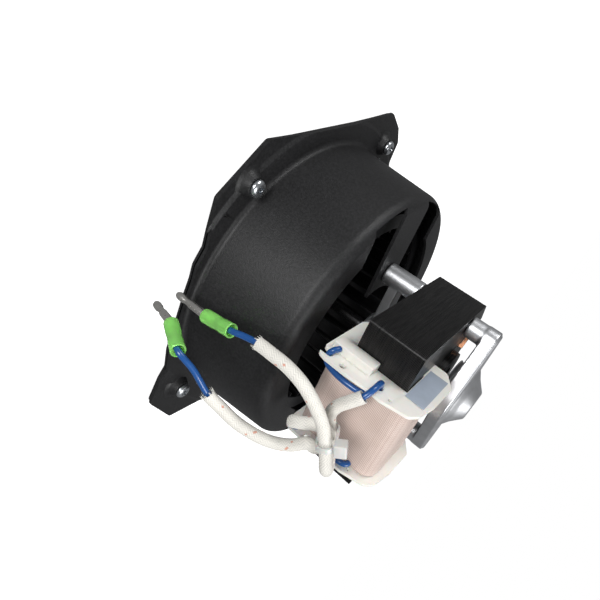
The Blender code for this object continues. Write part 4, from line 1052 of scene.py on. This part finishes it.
def make_winding():
    """The taped coil, with a soft crown and a raised turn of tape every few millimetres."""
    low, high, front, back = 66.1 * MM, 107.3 * MM, -63.3 * MM, -28.0 * MM
    corners = [(front, low), (back, low), (back, high), (front, high)]
    outline = rounded(corners, 8.0 * MM, 14)
    loop = []
    for start, end in zip(outline, outline[1:] + outline[:1]):
        a, b = Vector(start), Vector(end)
        steps = max(1, round((b - a).length / (1.0 * MM)))
        loop += [a.lerp(b, k / steps) for k in range(steps)]
    centre = Vector(((-54.3 - 36.5) / 2 * MM, 86.2 * MM))
    half = Vector((9.5 * MM, 14.9 * MM))
    width = 20.2 * MM
    stations = [-width + 2 * width * k / 120 for k in range(121)]
    lengths = [0.0]
    for a, b in zip(loop, loop[1:]):
        lengths.append(lengths[-1] + (b - a).length)

    def build(shape):
        uv = shape.loops.layers.uv.new("map")
        rows = []
        for x in stations:
            edge = max(0.0, abs(x) / width - 0.9) / 0.1
            wrap = 0.05 * MM * math.sin(x / MM * 0.9)
            inset = 0.9 * MM * edge * edge + 0.12 * MM - wrap
            rows.append([shape.verts.new((x, *(p + (centre - p).normalized() * inset)))
                         for p in loop])
        inside = []
        for x in (stations[-1], stations[0]):
            row = []
            for p in loop:
                ray = p - centre
                share = min(half.x / max(abs(ray.x), 1e-9), half.y / max(abs(ray.y), 1e-9))
                row.append(shape.verts.new((x, *(centre + ray * share))))
            inside.append(row)
        around = len(loop)
        for index, (one, two) in enumerate(zip(rows, rows[1:])):
            for k in range(around):
                after = (k + 1) % around
                face = shape.faces.new((one[k], two[k], two[after], one[after]))
                spans = (lengths[k], lengths[k], lengths[k] + 1.0 * MM, lengths[k] + 1.0 * MM)
                xs = (stations[index], stations[index + 1], stations[index + 1], stations[index])
                for corner, u, v in zip(face.loops, spans, xs):
                    corner[uv].uv = (u / MM, v / MM)
        for one, two in ((rows[-1], inside[0]), (inside[0], inside[1]), (inside[1], rows[0])):
            for k in range(around):
                after = (k + 1) % around
                shape.faces.new((one[k], two[k], two[after], one[after]))
        bmesh.ops.recalc_face_normals(shape, faces=shape.faces)

    obj = mesh_of("taped_coil", build, angle=40)
    give(obj, TAPE, "frame", "winding", slot="coil_tape")
    dot = turned("ink_dot", [(0.1 * MM, 0.05 * MM), (0.7 * MM, 0.05 * MM), (0.9 * MM, -0.02 * MM),
                             (0.1 * MM, -0.02 * MM)], 32,
                 Matrix.Translation((10.1 * MM, -63.27 * MM, 90.5 * MM))
                 @ Matrix.Rotation(math.radians(90), 4, "X"))
    give(dot, INK, "frame")


def make_label():
    low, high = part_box("label")
    obj = box("plain_label", low, high, 0.08 * MM)
    give(applied(obj), LABEL, "frame", "label", slot="label_grey")


make_bobbin()
make_winding()
make_label()


# ---------------------------------------------------------------- pieces that keep their shape

for node, finish, slot_name in (
    ("front_bearing", BRONZE, "sintered_bronze"), ("rear_bearing", BRONZE, "sintered_bronze"),
    ("front_bearing_clip", STEEL, "steel"), ("rear_bearing_clip", STEEL, "steel"),
    ("shading_ring_1", COPPER, "copper"), ("shading_ring_2", COPPER, "copper"),
    ("coil_core", LAMINATION, "lamination"), ("rotor_core", LAMINATION, "lamination"),
    ("shaft", STEEL, "steel"), ("thrust_washer_front", NYLON, "nylon"),
    # The wheel and its disc take the near-black colour that stands in for the shade inside the
    # drum.
    ("thrust_washer_rear", NYLON, "nylon"), ("wheel", WHEEL_BLACK_AS_SHADE, "wheel_black"),
    ("wheel_disc", WHEEL_BLACK_AS_SHADE, "wheel_black"),
    ("wheel_hub", ZINC, "zinc"), ("hub_set_screw", STEEL, "steel"), ("hub_rivet_1", ZINC, "zinc"),
    ("hub_rivet_2", ZINC, "zinc"), ("hub_rivet_3", ZINC, "zinc"),
    ("through_bolt_1", ZINC, "zinc"), ("through_bolt_2", ZINC, "zinc"),
):
    dress(node, finish, slot_name)


# ---------------------------------------------------------------- stage and light

def make_stage():
    """A pale floor just under the plate and a white surround that lights it softly."""
    mesh = bpy.data.meshes.new("floor")
    reach, level = 8.0, -0.4 * MM
    mesh.from_pydata([(-reach, -reach, level), (reach, -reach, level), (reach, reach, level),
                      (-reach, reach, level)], [], [(0, 1, 2, 3)])
    floor = linked("floor", mesh)
    f = Finish("floor", grey(0.85), 0.9, Emission_Color=(1, 1, 1, 1), Emission_Strength=0.85)
    floor.data.materials.append(f.made)
    floor.visible_diffuse = False
    floor.visible_glossy = False
    world = bpy.data.worlds.new("studio")
    world.use_nodes = True
    tree = world.node_tree
    tree.nodes.clear()
    out = tree.nodes.new("ShaderNodeOutputWorld")
    seen, lit = tree.nodes.new("ShaderNodeBackground"), tree.nodes.new("ShaderNodeBackground")
    seen.inputs["Strength"].default_value = 1.0
    seen.inputs["Color"].default_value = (1, 1, 1, 1)
    lit.inputs["Strength"].default_value = 0.22
    lit.inputs["Color"].default_value = (0.98, 0.99, 1.0, 1)
    mix, path = tree.nodes.new("ShaderNodeMixShader"), tree.nodes.new("ShaderNodeLightPath")
    tree.links.new(path.outputs["Is Camera Ray"], mix.inputs["Fac"])
    tree.links.new(lit.outputs["Background"], mix.inputs[1])
    tree.links.new(seen.outputs["Background"], mix.inputs[2])
    tree.links.new(mix.outputs["Shader"], out.inputs["Surface"])
    bpy.context.scene.world = world


def area_light(name, place, aim, size, power):
    data = bpy.data.lights.new(name, "AREA")
    data.shape = "SQUARE"
    data.size = size
    data.energy = power
    light = bpy.data.objects.new(name, data)
    light.location = place
    light.rotation_euler = (Vector(aim) - Vector(place)).to_track_quat("-Z", "Y").to_euler()
    bpy.context.scene.collection.objects.link(light)


make_stage()
area_light("key", (0.15, -0.25, 0.75), (0, 0, 0.06), 0.30, 3.6)
area_light("side", (-0.75, 0.10, 0.30), (0, 0, 0.05), 0.22, 2.2)
area_light("fill", (-0.32, -0.60, 0.10), (0, 0, 0.05), 0.22, 2.6)
bpy.context.scene.view_settings.view_transform = "Standard"
